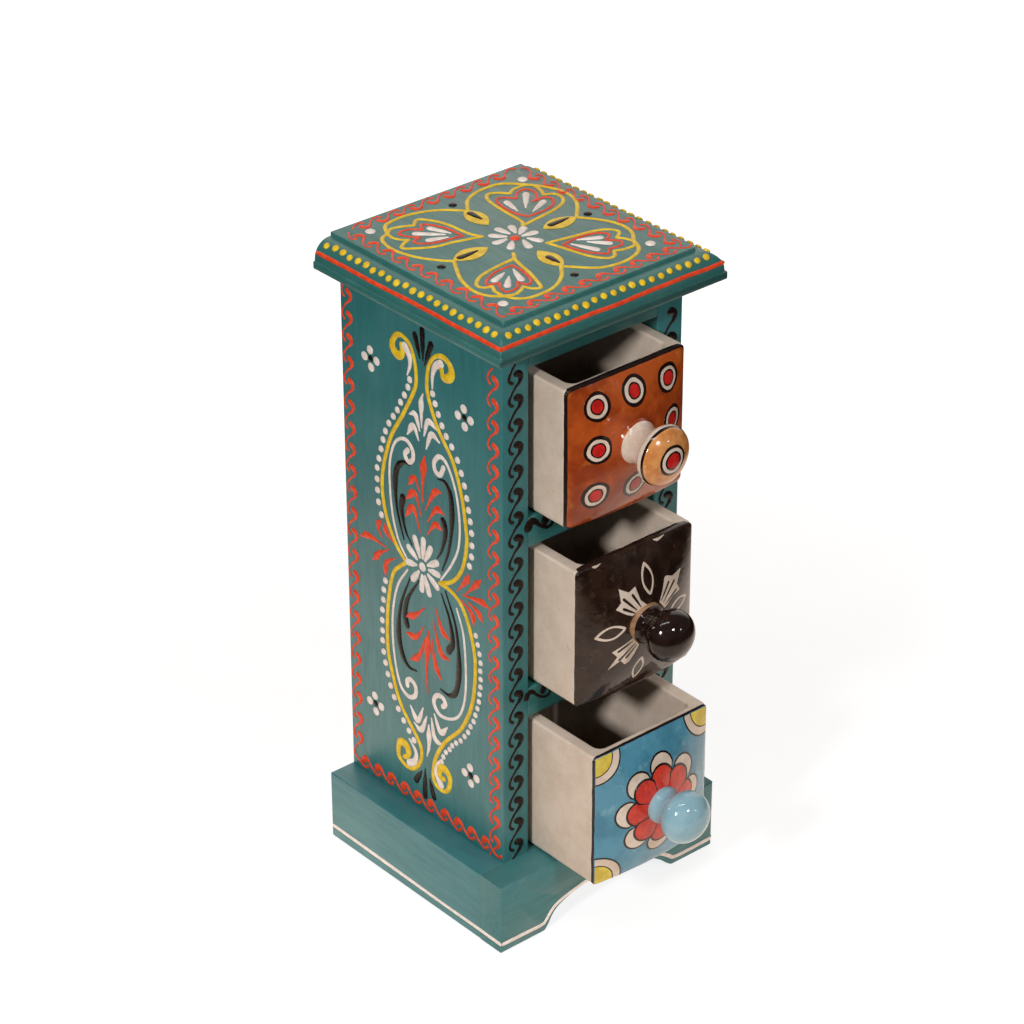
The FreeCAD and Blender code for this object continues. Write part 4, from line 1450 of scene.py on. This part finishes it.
@dataclass
class FrontDress:
    """The black scrolls on the stiles and rails, and the cream line round the plinth."""

    colours: Palette
    front: float = -53
    plinth_front: float = -67.1
    plinth_half: float = 63.6

    def build(self) -> None:
        """Paint the front and the plinth."""
        face = Flat((0, self.front, 0), (1, 0, 0), (0, 0, 1), (0, -1, 0))
        black = Paintwork("front_black_scrolls", face, self.colours[Colour.BLACK], COAT)
        ScrollChain((-42.6, 276.2), (0, -1), (1, 0), 11.1, 22, 1.06, 1.35).draw(black, 71)
        ScrollChain((43.6, 276.2), (0, -1), (1, 0), 11.1, 22, 1.06, 1.35, False).draw(black, 72)
        ScrollChain((-36.0, 200.9), (1, 0), (0, 1), 9.1, 8, 0.95, 1.8, False).draw(black, 73)
        ScrollChain((-37.3, 116.0), (1, 0), (0, 1), 9.4, 8, 0.95, 1.3, False).draw(black, 74)
        black.lay()
        scallop = Flat((0, self.plinth_front, 0), (1, 0, 0), (0, 0, 1), (0, -1, 0))
        self.line("front", scallop, [
            (-62.6, 4.6), (-50, 4.4), (-39.8, 4.3), (-37.4, 5.9), (-34.2, 9.6), (-31, 11.7), (-25, 13.6),
            (-13.3, 15.9), (-1.5, 17.1), (10, 16.4), (22, 13.6), (28, 11.2), (32.6, 9.0), (36.7, 6.2),
            (40.2, 3.9), (50, 3.6), (62.6, 3.8)], (2.0, 1.9, 1.6, 1.9, 2.0))
        for name, sign in (("left", -1), ("right", 1)):
            side = Flat((sign * self.plinth_half, 0, 0), (0, -1, 0), (0, 0, 1), (sign, 0, 0))
            self.line(name, side, [(-52, 5.8), (-25, 5.5), (0, 5.2), (30, 4.8), (50, 4.8), (66.2, 4.5)],
                      (1.9, 2.0, 1.8, 2.0))

    def line(self, name: str, face: Flat, row: Sequence[Point], widths: Sequence[float]) -> None:
        """Draw the cream line along one side of the plinth.

        Args:
            name: The side's name.
            face: Its face.
            row: The points that the line passes through.
            widths: Its widths in mm, spread evenly over its length.
        """
        paint = Paintwork(f"plinth_{name}_cream_line", face, self.colours[Colour.WHITE], COAT)
        paint.stroke(row, widths, 0.3)
        paint.lay()


# Drawers

# How thick the glaze on a drawer's front is
FIRED = 0.2


@dataclass
class Knob:
    """A turned clay knob, lathed round an axis that runs out of the drawer's face.

    The rows of its profile are the distance from the rim, the radius and the finish from there on.
    Its neck hangs `sink` mm below its head.
    """

    name: str
    node: str
    body: Body
    centre: Point
    rim: float
    profile: Sequence[tuple[float, float, int]]
    finishes: Sequence[Material]
    slot: str
    sink: float = 0.0
    count: int = 96

    def rows(self) -> list[tuple[float, float, int]]:
        """Set points close together along the profile.

        Returns:
            The finer profile.
        """
        marks = [(d, r) for d, r, _ in self.profile]
        zone = mark = 0
        rows = []
        for d, r in smooth(marks, 0.7):
            while mark < len(marks) - 1 and math.dist((d, r), marks[mark]) < 1e-6:
                zone = self.profile[mark][2]
                mark += 1
            rows.append((d, max(r, 0.02), zone))
        return rows

    def build(self) -> None:
        """Lathe the profile, with a wavering line wherever the finish changes."""
        rows = self.rows()
        circles = []
        for i, (d, r, zone) in enumerate(rows):
            edge = i and rows[i - 1][2] != zone
            low = self.sink * min(1.0, max(0.0, (19 - d) / 9))
            around = []
            for k in range(self.count):
                a, b = polar((0, 0), 1, 2 * math.pi * k / self.count)
                sway = 0.35 * noise.noise(Vector((a, b, i)) * 1.6) if edge else 0
                around.append(metres((self.centre[0] + r * a, self.rim - d - sway,
                                      self.centre[1] - low + r * b)))
            circles.append(around)
        points, rings = stack(circles)
        faces = [tuple(rings[0]), *span(rings), tuple(reversed(rings[-1]))]
        bands = [zone for _, _, zone in rows[:-1] for _ in range(self.count)]
        zones = [rows[0][2], *bands, rows[-1][2]]
        knob = make_object(self.name, points, faces, self.finishes, self.body, zones, 50)
        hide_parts(self.node)


@dataclass
class DrawerFront:
    """The glaze on a drawer's crowned front, with its dark rim, and the pattern fired into it.

    The glaze runs `wrap` times as far over the top edge as over the others.
    """

    body: Body
    face: Crown
    ground: Material
    rim: Material
    rim_width: float
    wrap: float
    slot: str
    dark_width: float = field(default=3.2, kw_only=True)

    def loop(self, inset: float, corner: float) -> list[Point]:
        """Give the front's rounded outline.

        Args:
            inset: How far in from the front's edge it runs, in mm.
            corner: The radius of its corners.

        Returns:
            The outline, with points close together.
        """
        side = self.face.width / 2 - inset - corner
        low, high = inset + corner, self.face.height - inset - corner
        points = [*arc((side, high), corner, 0, 6), *arc((-side, high), corner, 90, 6),
                  *arc((-side, low), corner, 180, 6), *arc((side, low), corner, 270, 6)]
        dense = []
        for a, b in zip(points, points[1:] + points[:1]):
            parts = 16 if math.dist(a, b) > 10 else 1
            for k in range(parts):
                dense.append((a[0] + (b[0] - a[0]) * k / parts, a[1] + (b[1] - a[1]) * k / parts))
        return dense

    def edge(self, row: tuple[float, float, float]) -> list[Vector]:
        """Set out one row of the glaze's turned edge.

        Args:
            row: How far in from the front's edge it runs, its corners' radius, and how far back it lies.

        Returns:
            The points of the row, in metres.
        """
        inset, corner, back = row
        ring = []
        for u, v in self.loop(inset, corner):
            sway = 0.4 * noise.noise(Vector((u, v, self.face.rim)) * 0.25) if back > 0.6 else 0
            clear = min(1.0, max(0.0, (self.face.width / 2 - 0.8 - abs(u)) / 2.5))
            over = 1 + (self.wrap - 1) * clear if v > self.face.height - 0.5 and back > 0.5 else 1.0
            ring.append(metres(self.face.at(u, v, -back * over - sway)))
        return ring

    def border(self) -> list[Vector]:
        """Set out the wavering inner border of the rim line.

        Returns:
            Its points on the face, as (u, v).
        """
        middle = self.face.height / 2
        marks = []
        for u, v in self.loop(self.rim_width, 1.4):
            shrink = 1 + 0.006 * noise.noise(Vector((u, v, self.face.rim)) * 0.3)
            marks.append(Vector((u * shrink, middle + (v - middle) * shrink)))
        return marks

    def skin(self) -> None:
        """Lay the glaze over the front and a little round its edges."""
        turned = ((0.3, 2.4, 0.8), (-0.1, 2.6, 0.7), (-0.16, 2.7, 0.55), (-0.12, 2.6, 0.35),
                  (0.1, 2.35, 0.1), (0.35, 2.0, -0.07))
        marks = self.border()
        on_face = [metres(self.face.at(p.x, p.y, FIRED)) for p in marks]
        points, rings = stack([*(self.edge(row) for row in turned), on_face])
        faces = span(rings)
        dark = [self.dark_at(p) for p in marks]
        around = [int(dark[i] and dark[(i + 1) % len(dark)]) for i in range(len(dark))]
        half, inset = self.face.width / 2, self.rim_width
        inner = grid_points((-half + inset + 1.5, inset + 1.5),
                            (half - inset - 1, self.face.height - inset - 1), 2.0)
        found = delaunay_2d_cdt(marks + inner, [], [list(range(len(marks)))], 1, 1e-5)
        base = len(points)
        points += [metres(self.face.at(p.x, p.y, FIRED)) for p in found[0]]
        faces += [tuple(base + i for i in tile) for tile in found[2]]
        zones = around * len(turned) + [0] * len(found[2])
        piece = make_object(self.body.value + "_glaze", points, faces, [self.ground, self.rim],
                            self.body, zones)
        shape = bmesh.new()
        shape.from_mesh(piece.data)
        bmesh.ops.remove_doubles(shape, verts=shape.verts[:], dist=0.02 * MM)
        shape.to_mesh(piece.data)
        shape.free()

    def dark_at(self, spot: Vector) -> bool:
        """Tell whether the dark rim line runs here: along the top and the left edge."""
        return (spot.y > self.face.height - self.dark_width
                or spot.x < self.dark_width - self.face.width / 2)

    def layer(self, part: str, finish: Material, level: int = 0) -> Paintwork:
        """Start one layer of the fired pattern; a higher level lies over a lower one."""
        lift = FIRED + 0.07 * level
        return Paintwork(f"{self.body.value}_{part}", self.face, finish, lift, self.body, 1.0)


@dataclass
class RingedFront(DrawerFront):
    """The top drawer's front: eight ringed spots on orange."""

    black: Material
    cream: Material
    red: Material

    def build(self) -> None:
        """Glaze the front and draw the spots."""
        self.skin()
        black, cream = self.layer("spot_rings", self.black), self.layer("spot_bands", self.cream, 1)
        inner, red = self.layer("spot_inner_rings", self.black, 2), self.layer("spot_hearts", self.red, 3)
        spots = ((-18.5, 54.5), (1.2, 55.7), (21.7, 54.2), (-19.7, 35.4), (22.8, 35.0),
                 (-20, 13.6), (0.3, 12.9), (21.5, 13.2))
        for u, v in spots:
            black.ring(u, v, 6.5, 4.5)
            cream.ring(u, v, 5.0, 3.0)
            inner.ring(u, v, 3.5, 2.2)
            red.ring(u, v, 2.8, 0)
        for paint in (black, inner, cream, red):
            paint.lay()


@dataclass
class FanFront(DrawerFront):
    """The middle drawer's front: four slotted fans and four leaves left pale in the dark."""

    cream: Material
    raw: Material

    def build(self) -> None:
        """Glaze the front and draw the fans, the leaves and the chipped edge."""
        self.skin()
        fans = self.layer("fans", self.cream)
        slots = self.layer("fan_slots", self.ground, 1)
        for outline, cuts in self.fans():
            fans.patch(outline, 0.07)
            slots.strokes(cuts, (1.3, 1.1, 0.5), 0.07)
        leaves = (((2.3, 59.8), (2.9, 46.3), 2.9), ((-25.2, 33.7), (-11.9, 35), 2.9),
                  ((-1.8, 16.2), (-3.7, 5.9), 2.6), ((15, 33.2), (27.8, 33.5), 2.5))
        for low, high, half in leaves:
            outline = almond(low, high, half)
            fans.stroke(outline + outline[:1], (1.3, 0.9, 1.2, 0.9, 1.3), 0.09)
        fans.lay()
        slots.lay()
        chips = self.layer("chips", self.cream)
        high = self.face.height
        chips.strokes(([(-24.6, high - 0.2), (-23, high - 0.7), (-21.5, high - 0.6), (-20, high - 0.1)],
                       [(10.2, high - 0.1), (12.5, high - 0.7), (14.4, high - 0.5), (16.4, high)]),
                      (0.3, 1.3, 0.9, 0.3), 0.12)
        chips.lay()
        foot = self.layer("knob_foot_ring", self.raw)
        foot.ring(0, 33.2, 9.4, 7.8)
        foot.lay()

    def fans(self) -> list[tuple[list[Point], list[list[Point]]]]:
        """Set out the four fans, the last one mirrored from the one beside it.

        Returns:
            Each fan's outline and its three slots.
        """
        low_left = ([(-7.7, 29), (-12, 27), (-18, 24.7), (-15.2, 21.5), (-19.3, 15.8), (-13.3, 19),
                     (-11.2, 16.3), (-9, 17), (-6.5, 20.5), (-4.5, 24.3)],
                    [[(-14.8, 24.2), (-8, 27.5)], [(-14, 19.6), (-6.8, 25.8)],
                     [(-10.5, 19.8), (-5.8, 24.8)]])
        return [
            ([(-8, 39.8), (-11, 41.3), (-15.8, 44.9), (-13, 47.3), (-13.3, 53.7), (-8.5, 50.7),
              (-4.8, 52.2), (-3, 45.5), (0.5, 42)],
             [[(-11.5, 48.5), (-5.5, 41.8)], [(-6.8, 49), (-3.2, 42.5)], [(-12, 44.2), (-6.5, 40.6)]]),
            ([(7.7, 40.5), (10, 44.5), (12.5, 50), (14, 50.2), (17.5, 48.5), (23.8, 49.2), (20.5, 43.5),
              (22.3, 39.8), (17, 39.3), (10.8, 36.3)],
             [[(14.5, 46.8), (9, 40.8)], [(18.3, 45.8), (10.3, 39.5)], [(19.5, 41), (11.5, 38)]]),
            low_left,
            (mirrored([low_left[0]], 1.2)[0], mirrored(low_left[1], 1.2)),
        ]


@dataclass
class FlowerFront(DrawerFront):
    """The bottom drawer's front: an eight-petalled red flower and four yellow corners."""

    black: Material
    cream: Material
    red: Material
    yellow: Material

    def build(self) -> None:
        """Glaze the front and draw the flower and the corners."""
        self.skin()
        self.flower()
        self.corners()

    def flower(self) -> None:
        """Draw eight cream petals with red lobes over them, every second lobe over its neighbours."""
        bands, edges = self.layer("petal_bands", self.cream, 1), self.layer("petal_outlines", self.black)
        middle = (0.3, 32.8)
        for k in range(8):
            turn = math.radians(87 + 45 * k)
            edges.patch(petal(middle, turn, 8, 24.9, 6.9), 0.07)
            bands.patch(petal(middle, turn, 8.5, 24.0, 6.0), 0.07)
        edges.lay()
        bands.lay()
        for part in (0, 1):
            lobes = self.layer(f"petals_{part}", self.red, 3 + 2 * part)
            lines = self.layer(f"petal_lines_{part}", self.black, 2 + 2 * part)
            for k in range(part, 8, 2):
                turn = math.radians(89 + 45 * k)
                lines.patch(petal(middle, turn, 5, 19.7, 6.55), 0.07)
                lobes.patch(petal(middle, turn, 5.6, 18.7, 5.6), 0.07)
            lines.lay()
            lobes.lay()

    def corners(self) -> None:
        """Draw the quarter discs in the corners, with their bands and lines."""
        yellow, cream = self.layer("corner_discs", self.yellow), self.layer("corner_bands", self.cream)
        black = self.layer("corner_lines", self.black, 1)
        half, high = self.face.width / 2 - 0.9, self.face.height - 0.9
        for u, v, start in ((-half, high, 270), (half, high, 180), (-half, 0.6, 0), (half, 0.6, 90)):
            disc, band, inner, outer = (arc((u, v), r, start, 14) for r in (9.2, 13.2, 9.3, 13.4))
            yellow.patch([(u, v), *disc], 0.08)
            cream.patch(band + disc[::-1], 0.08)
            black.stroke(inner, (0.6,), 0.09)
            black.stroke(outer, (0.8,), 0.09)
        for paint in (yellow, cream, black):
            paint.lay()


def petal(centre: Point, turn: float, near: float, reach: float, half: float) -> list[Point]:
    """Give a petal's outline: a narrow root that widens to a round end.

    Args:
        centre: The flower's middle.
        turn: The petal's direction, in radians.
        near: Where its root starts, from the middle.
        reach: Where its tip ends.
        half: Half of its greatest width.

    Returns:
        The outline.
    """
    slope = near * math.tan(math.radians(22.5)) * 0.9
    points = [(near, -slope), *arc((reach - half, 0), half, -90, 16, 180), (near, slope)]
    x, y = polar((0, 0), 1, turn)
    return [(centre[0] + a * x - b * y, centre[1] + a * y + b * x) for a, b in points]


# Studio


@dataclass(frozen=True)
class Lamp:
    """A round lamp, or a strip when it has a depth, that looks at the tower's middle."""

    name: str
    place: Triple
    width: float
    power: float
    depth: float = 0.0
    target: Triple = (0, 0, 170)
    along: Triple = (0.758, -0.652, 0.0)

    def build(self) -> None:
        """Hang the lamp, with a strip's long side turned along the picture."""
        data = bpy.data.lights.new(self.name, "AREA")
        data.shape = "RECTANGLE" if self.depth else "DISK"
        data.size = self.width * MM
        if self.depth:
            data.size_y = self.depth * MM
        data.energy = self.power
        lamp = bpy.data.objects.new(self.name, data)
        lamp.location = metres(self.place)
        back = (lamp.location - metres(self.target)).normalized()
        side = (Vector(self.along) - back * back.dot(Vector(self.along))).normalized()
        lamp.rotation_euler = Matrix((side, back.cross(side), back)).transposed().to_euler()
        bpy.context.scene.collection.objects.link(lamp)


@dataclass(frozen=True)
class Studio:
    """The pale floor, the white surroundings, the lamps and the camera."""

    reach: float = 6000
    level: float = -0.4
    camera_place: Triple = (-881.7, -1025.6, 950.1)
    camera_target: Triple = (0.615, 0, 171.588)
    camera_roll: float = -0.096
    lens: float = 124.6
    sensor: float = 36
    view_end: float = 20000

    def floor(self) -> None:
        """Lay a wide floor that keeps the tower's shadow."""
        signs = ((-1, -1), (1, -1), (1, 1), (-1, 1))
        points = [metres((a * self.reach, b * self.reach, self.level)) for a, b in signs]
        mesh = bpy.data.meshes.new("floor")
        mesh.from_pydata([tuple(p) for p in points], [], [(0, 1, 2, 3)])
        mesh.materials.append(self.paper())
        floor = bpy.data.objects.new("floor", mesh)
        bpy.context.scene.collection.objects.link(floor)

    def paper(self) -> Material:
        """Write the matt white paper, which mirrors in the glaze as a small bright sheet on dark felt.

        Returns:
            The material.
        """
        to = recipe("matt_white_paper")
        # What the camera sees: white all over, with the tower's soft shadow and a greyer middle
        away = to.add("ShaderNodeVectorMath", {0: to.place()}, operation="LENGTH").outputs["Value"]
        tint = to.mix(to.ramp(to.noise(30, 3), 0.3, 0.7), "#8F8F8F", "#929292")
        seen = to.add("ShaderNodeBsdfDiffuse", {"Color": tint})
        level = to.ramp(away, 200, 600, 0.82, 1.0)
        glow = to.add("ShaderNodeEmission", {"Color": (1, 1, 1, 1), "Strength": level})
        bright = to.add("ShaderNodeAddShader", {0: seen.outputs[0], 1: glow.outputs[0]})
        # What the tower mirrors: a warm bright sheet near its foot, brightest behind it
        near = to.ramp(away, 300, 500, 1, 0)
        behind = to.add("ShaderNodeVectorMath", {0: to.place(), 1: (0.652, 0.758, 0)},
                        operation="DOT_PRODUCT")
        lit = to.ramp(behind.outputs["Value"], -160, -40, 0.14, 0.62)
        felt = to.add("ShaderNodeBsdfDiffuse", {"Color": to.mix(near, "#252220", "#EEDDCC")})
        strength = to.sum("MULTIPLY", near, lit)
        backlit = to.add("ShaderNodeEmission", {"Color": linear("#FFF1E7"), "Strength": strength})
        around = to.add("ShaderNodeAddShader", {0: felt.outputs[0], 1: backlit.outputs[0]})
        self.split(to, around, bright, "ShaderNodeOutputMaterial")
        return to.block

    def split(self, to: Recipe, around: bpy.types.Node, seen: bpy.types.Node, output: str) -> None:
        """Show the camera one shader and everything else another.

        Args:
            to: The material or world that is being written.
            around: The shader that lights and mirrors in the tower.
            seen: The shader that the camera sees.
            output: The type name of the output node.
        """
        ray = to.add("ShaderNodeLightPath").outputs["Is Camera Ray"]
        both = to.add("ShaderNodeMixShader", {0: ray, 1: around.outputs[0], 2: seen.outputs[0]})
        to.add(output, {"Surface": both.outputs[0]})

    def surroundings(self) -> None:
        """Light everything from a room that is pale behind the tower and dark in front of it."""
        to = Recipe(bpy.data.worlds.new("room"))
        way = to.add("ShaderNodeTexCoord").outputs["Generated"]
        toward = to.add("ShaderNodeVectorMath", {0: way, 1: (0.62, 0.72, 0.31)}, operation="DOT_PRODUCT")
        share = to.ramp(toward.outputs["Value"], 0.6, 0.86, 0.09, 1.4)
        room = to.add("ShaderNodeBackground", {"Color": linear("#FFF4EA"), "Strength": share})
        white = to.add("ShaderNodeBackground", {"Color": (1, 1, 1, 1), "Strength": 1.0})
        self.split(to, room, white, "ShaderNodeOutputWorld")
        bpy.context.scene.world = to.block

    def lamps(self) -> None:
        """Hang three bulbs for the round glints on the knobs and a strip overhead for the streak."""
        Lamp("left_bulb", (-1215, -520, 872), 170, 12.9).build()
        Lamp("front_bulb", (-30, -1380, 950), 190, 5.2).build()
        Lamp("side_bulb", (700, -1365, 560), 120, 0.6).build()
        Lamp("overhead_strip", (-510, -200, 1560), 1200, 4, 90).build()

    def camera(self) -> None:
        """Set up the photo's view."""
        data = bpy.data.cameras.new("view")
        data.lens = self.lens
        data.sensor_width = self.sensor
        data.clip_end = self.view_end * MM
        camera = bpy.data.objects.new("view", data)
        place, target = metres(self.camera_place), metres(self.camera_target)
        turn = (target - place).to_track_quat("-Z", "Y").to_matrix()
        turn = turn @ Matrix.Rotation(math.radians(self.camera_roll), 3, "Z")
        camera.matrix_world = Matrix.Translation(place) @ turn.to_4x4()
        bpy.context.scene.collection.objects.link(camera)
        bpy.context.scene.camera = camera

    def build(self) -> None:
        """Set up the studio."""
        self.floor()
        self.surroundings()
        self.lamps()
        self.camera()
        bpy.context.scene.view_settings.view_transform = "Standard"
        log.info("studio")


# The tower


@dataclass
class Cabinet:
    """The painted wooden carcass, its cap, its plinth and their ornament."""

    colours: Palette
    half: float = 50.2

    def build(self) -> None:
        """Build the boards and paint them."""
        upright, cross, plinth = TEAL.make(), TEAL_CROSS.make(), TEAL_PLINTH.make()
        dress(upright, "back_panel")
        for name, sign in (("left", -1), ("right", 1)):
            Board(f"side_panel_{name}", upright, ((sign, 0, 0), (0, -1, 0), (0, 1, 0))).build()
        for node in ("top_board", "shelf_upper", "shelf_lower", "bottom_board"):
            Board(node, cross, ((0, -1, 0),)).build()
        for name, sign in (("left", -1), ("right", 1)):
            Board(f"plinth_{name}", plinth, ((sign, 0, 0), (0, 1, 0))).build()
        PlinthFront(TEAL_PLINTH_FRONT.make()).build()
        Cap(TEAL_FLAT.make()).build()
        dress(STEEL.make(), "carcass_nails", "cap_nails", "plinth_nails", "back_panel_tacks")
        for name, sign, seed in (("left", -1, 11), ("right", 1, 51)):
            face = Flat((sign * self.half, 0, 0), (0, -1, 0), (0, 0, 1), (sign, 0, 0))
            SideDress(f"{name}_side", face, self.colours, seed).build()
        TopDress(self.colours).build()
        MouldingDress(self.colours).build()
        FrontDress(self.colours).build()


@dataclass
class Drawers:
    """The three glazed clay drawers with their knobs."""

    top: Crown = Crown(1.79, 205.7, -70.8, 65.2)
    middle: Crown = Crown(2.365, 120.4, -77.9, 67.2)
    bottom: Crown = Crown(0.99, 35.1, -91.6, 66.9)

    def build(self) -> None:
        """Dress the clay boxes, glaze their fronts and turn their knobs."""
        black, cream, red, raw = BLACK_GLAZE.make(), CREAM.make(), TARGET_RED.make(), RAW_FOOT.make()
        orange, dark, blue = ORANGE.make(), BROWN_BLACK.make(), BLUE.make()
        for part, face in (("top", self.top), ("middle", self.middle), ("bottom", self.bottom)):
            dress(CLAY.make(part, face.rim, face.underside + face.height), f"drawer_{part}_box")
        RingedFront(Body.TOP, self.top, orange, black, 0.9, 3.0, "orange_glaze", black, cream, red).build()
        FanFront(Body.MIDDLE, self.middle, dark, dark, 1.1, 5.2, "black_glaze", cream, raw).build()
        FlowerFront(Body.BOTTOM, self.bottom, blue, black, 0.5, 1.0, "blue_glaze", black, cream,
                    PETAL_RED.make(), CORNER_YELLOW.make()).build()
        Knob("knob_domed", "drawer_top_knob", Body.TOP, (self.top.centre, 239.3), self.top.rim,
             self.domed(), [cream, black, DOME_ORANGE.make(), red, orange], "cream_glaze").build()
        Knob("knob_black", "drawer_middle_knob", Body.MIDDLE, (self.middle.centre, 154.5), self.middle.rim,
             self.ball(11.9, 9.2, 1), [black, raw], "black_knob_glaze", 0.9).build()
        Knob("knob_pale_blue", "drawer_bottom_knob", Body.BOTTOM, (self.bottom.centre, 68.75),
             self.bottom.rim, self.ball(12.1, 8.6, 0), [PALE_BLUE.make(), cream], "pale_blue_glaze",
             0.9).build()

    def domed(self) -> list[tuple[float, float, int]]:
        """Set out a knob with a cream neck, a dark collar line and a honey dome with a target.

        Returns:
            The profile.
        """
        cream, black, dome, red, orange = range(5)
        return [(7.2, 10.4, orange), (8.8, 9.6, cream), (10.6, 8.9, cream), (13, 8.6, cream),
                (16.5, 9.1, cream), (19.5, 10.9, cream), (21.6, 12.8, cream), (22.6, 13.4, cream),
                (23.6, 13.5, cream), (24.3, 13.4, black), (25.4, 12.95, dome), (26.4, 12.3, dome),
                (28.2, 9.8, dome), (29.3, 6.9, black), (29.6, 5.7, cream), (29.9, 4.3, black),
                (30.05, 3.4, red), (30.2, 1.6, red), (30.22, 0.1, red)]

    def ball(self, radius: float, ring: float, foot: int) -> list[tuple[float, float, int]]:
        """Set out a ball on a short neck.

        Args:
            radius: The ball's radius across the knob's axis, in mm.
            ring: The radius of the ring at its foot, in mm.
            foot: The number of the ring's finish.

        Returns:
            The profile.
        """
        profile = [(7.2, ring - 0.4, foot), (8.6, ring, foot), (10.2, ring - 0.1, 0), (11.2, ring - 0.5, 0),
                   (12.4, ring - 0.8, 0), (13.6, ring - 0.9, 0), (15, ring - 0.7, 0), (16.3, ring - 0.3, 0)]
        for k in range(11):
            angle = math.radians(135 - 135 * (k + 1) / 11)
            profile.append((23 + 9.2 * math.cos(angle), radius * math.sin(angle) + 0.001, 0))
        return profile


def main() -> None:
    """Build the tower, then the studio round it."""
    colours = {colour: paint.make() for colour, paint in CONE_PAINTS.items()}
    Cabinet(colours).build()
    Drawers().build()
    Studio().build()


if __name__ == "__main__":
    logging.basicConfig(level=logging.INFO, format="%(message)s")
    main()
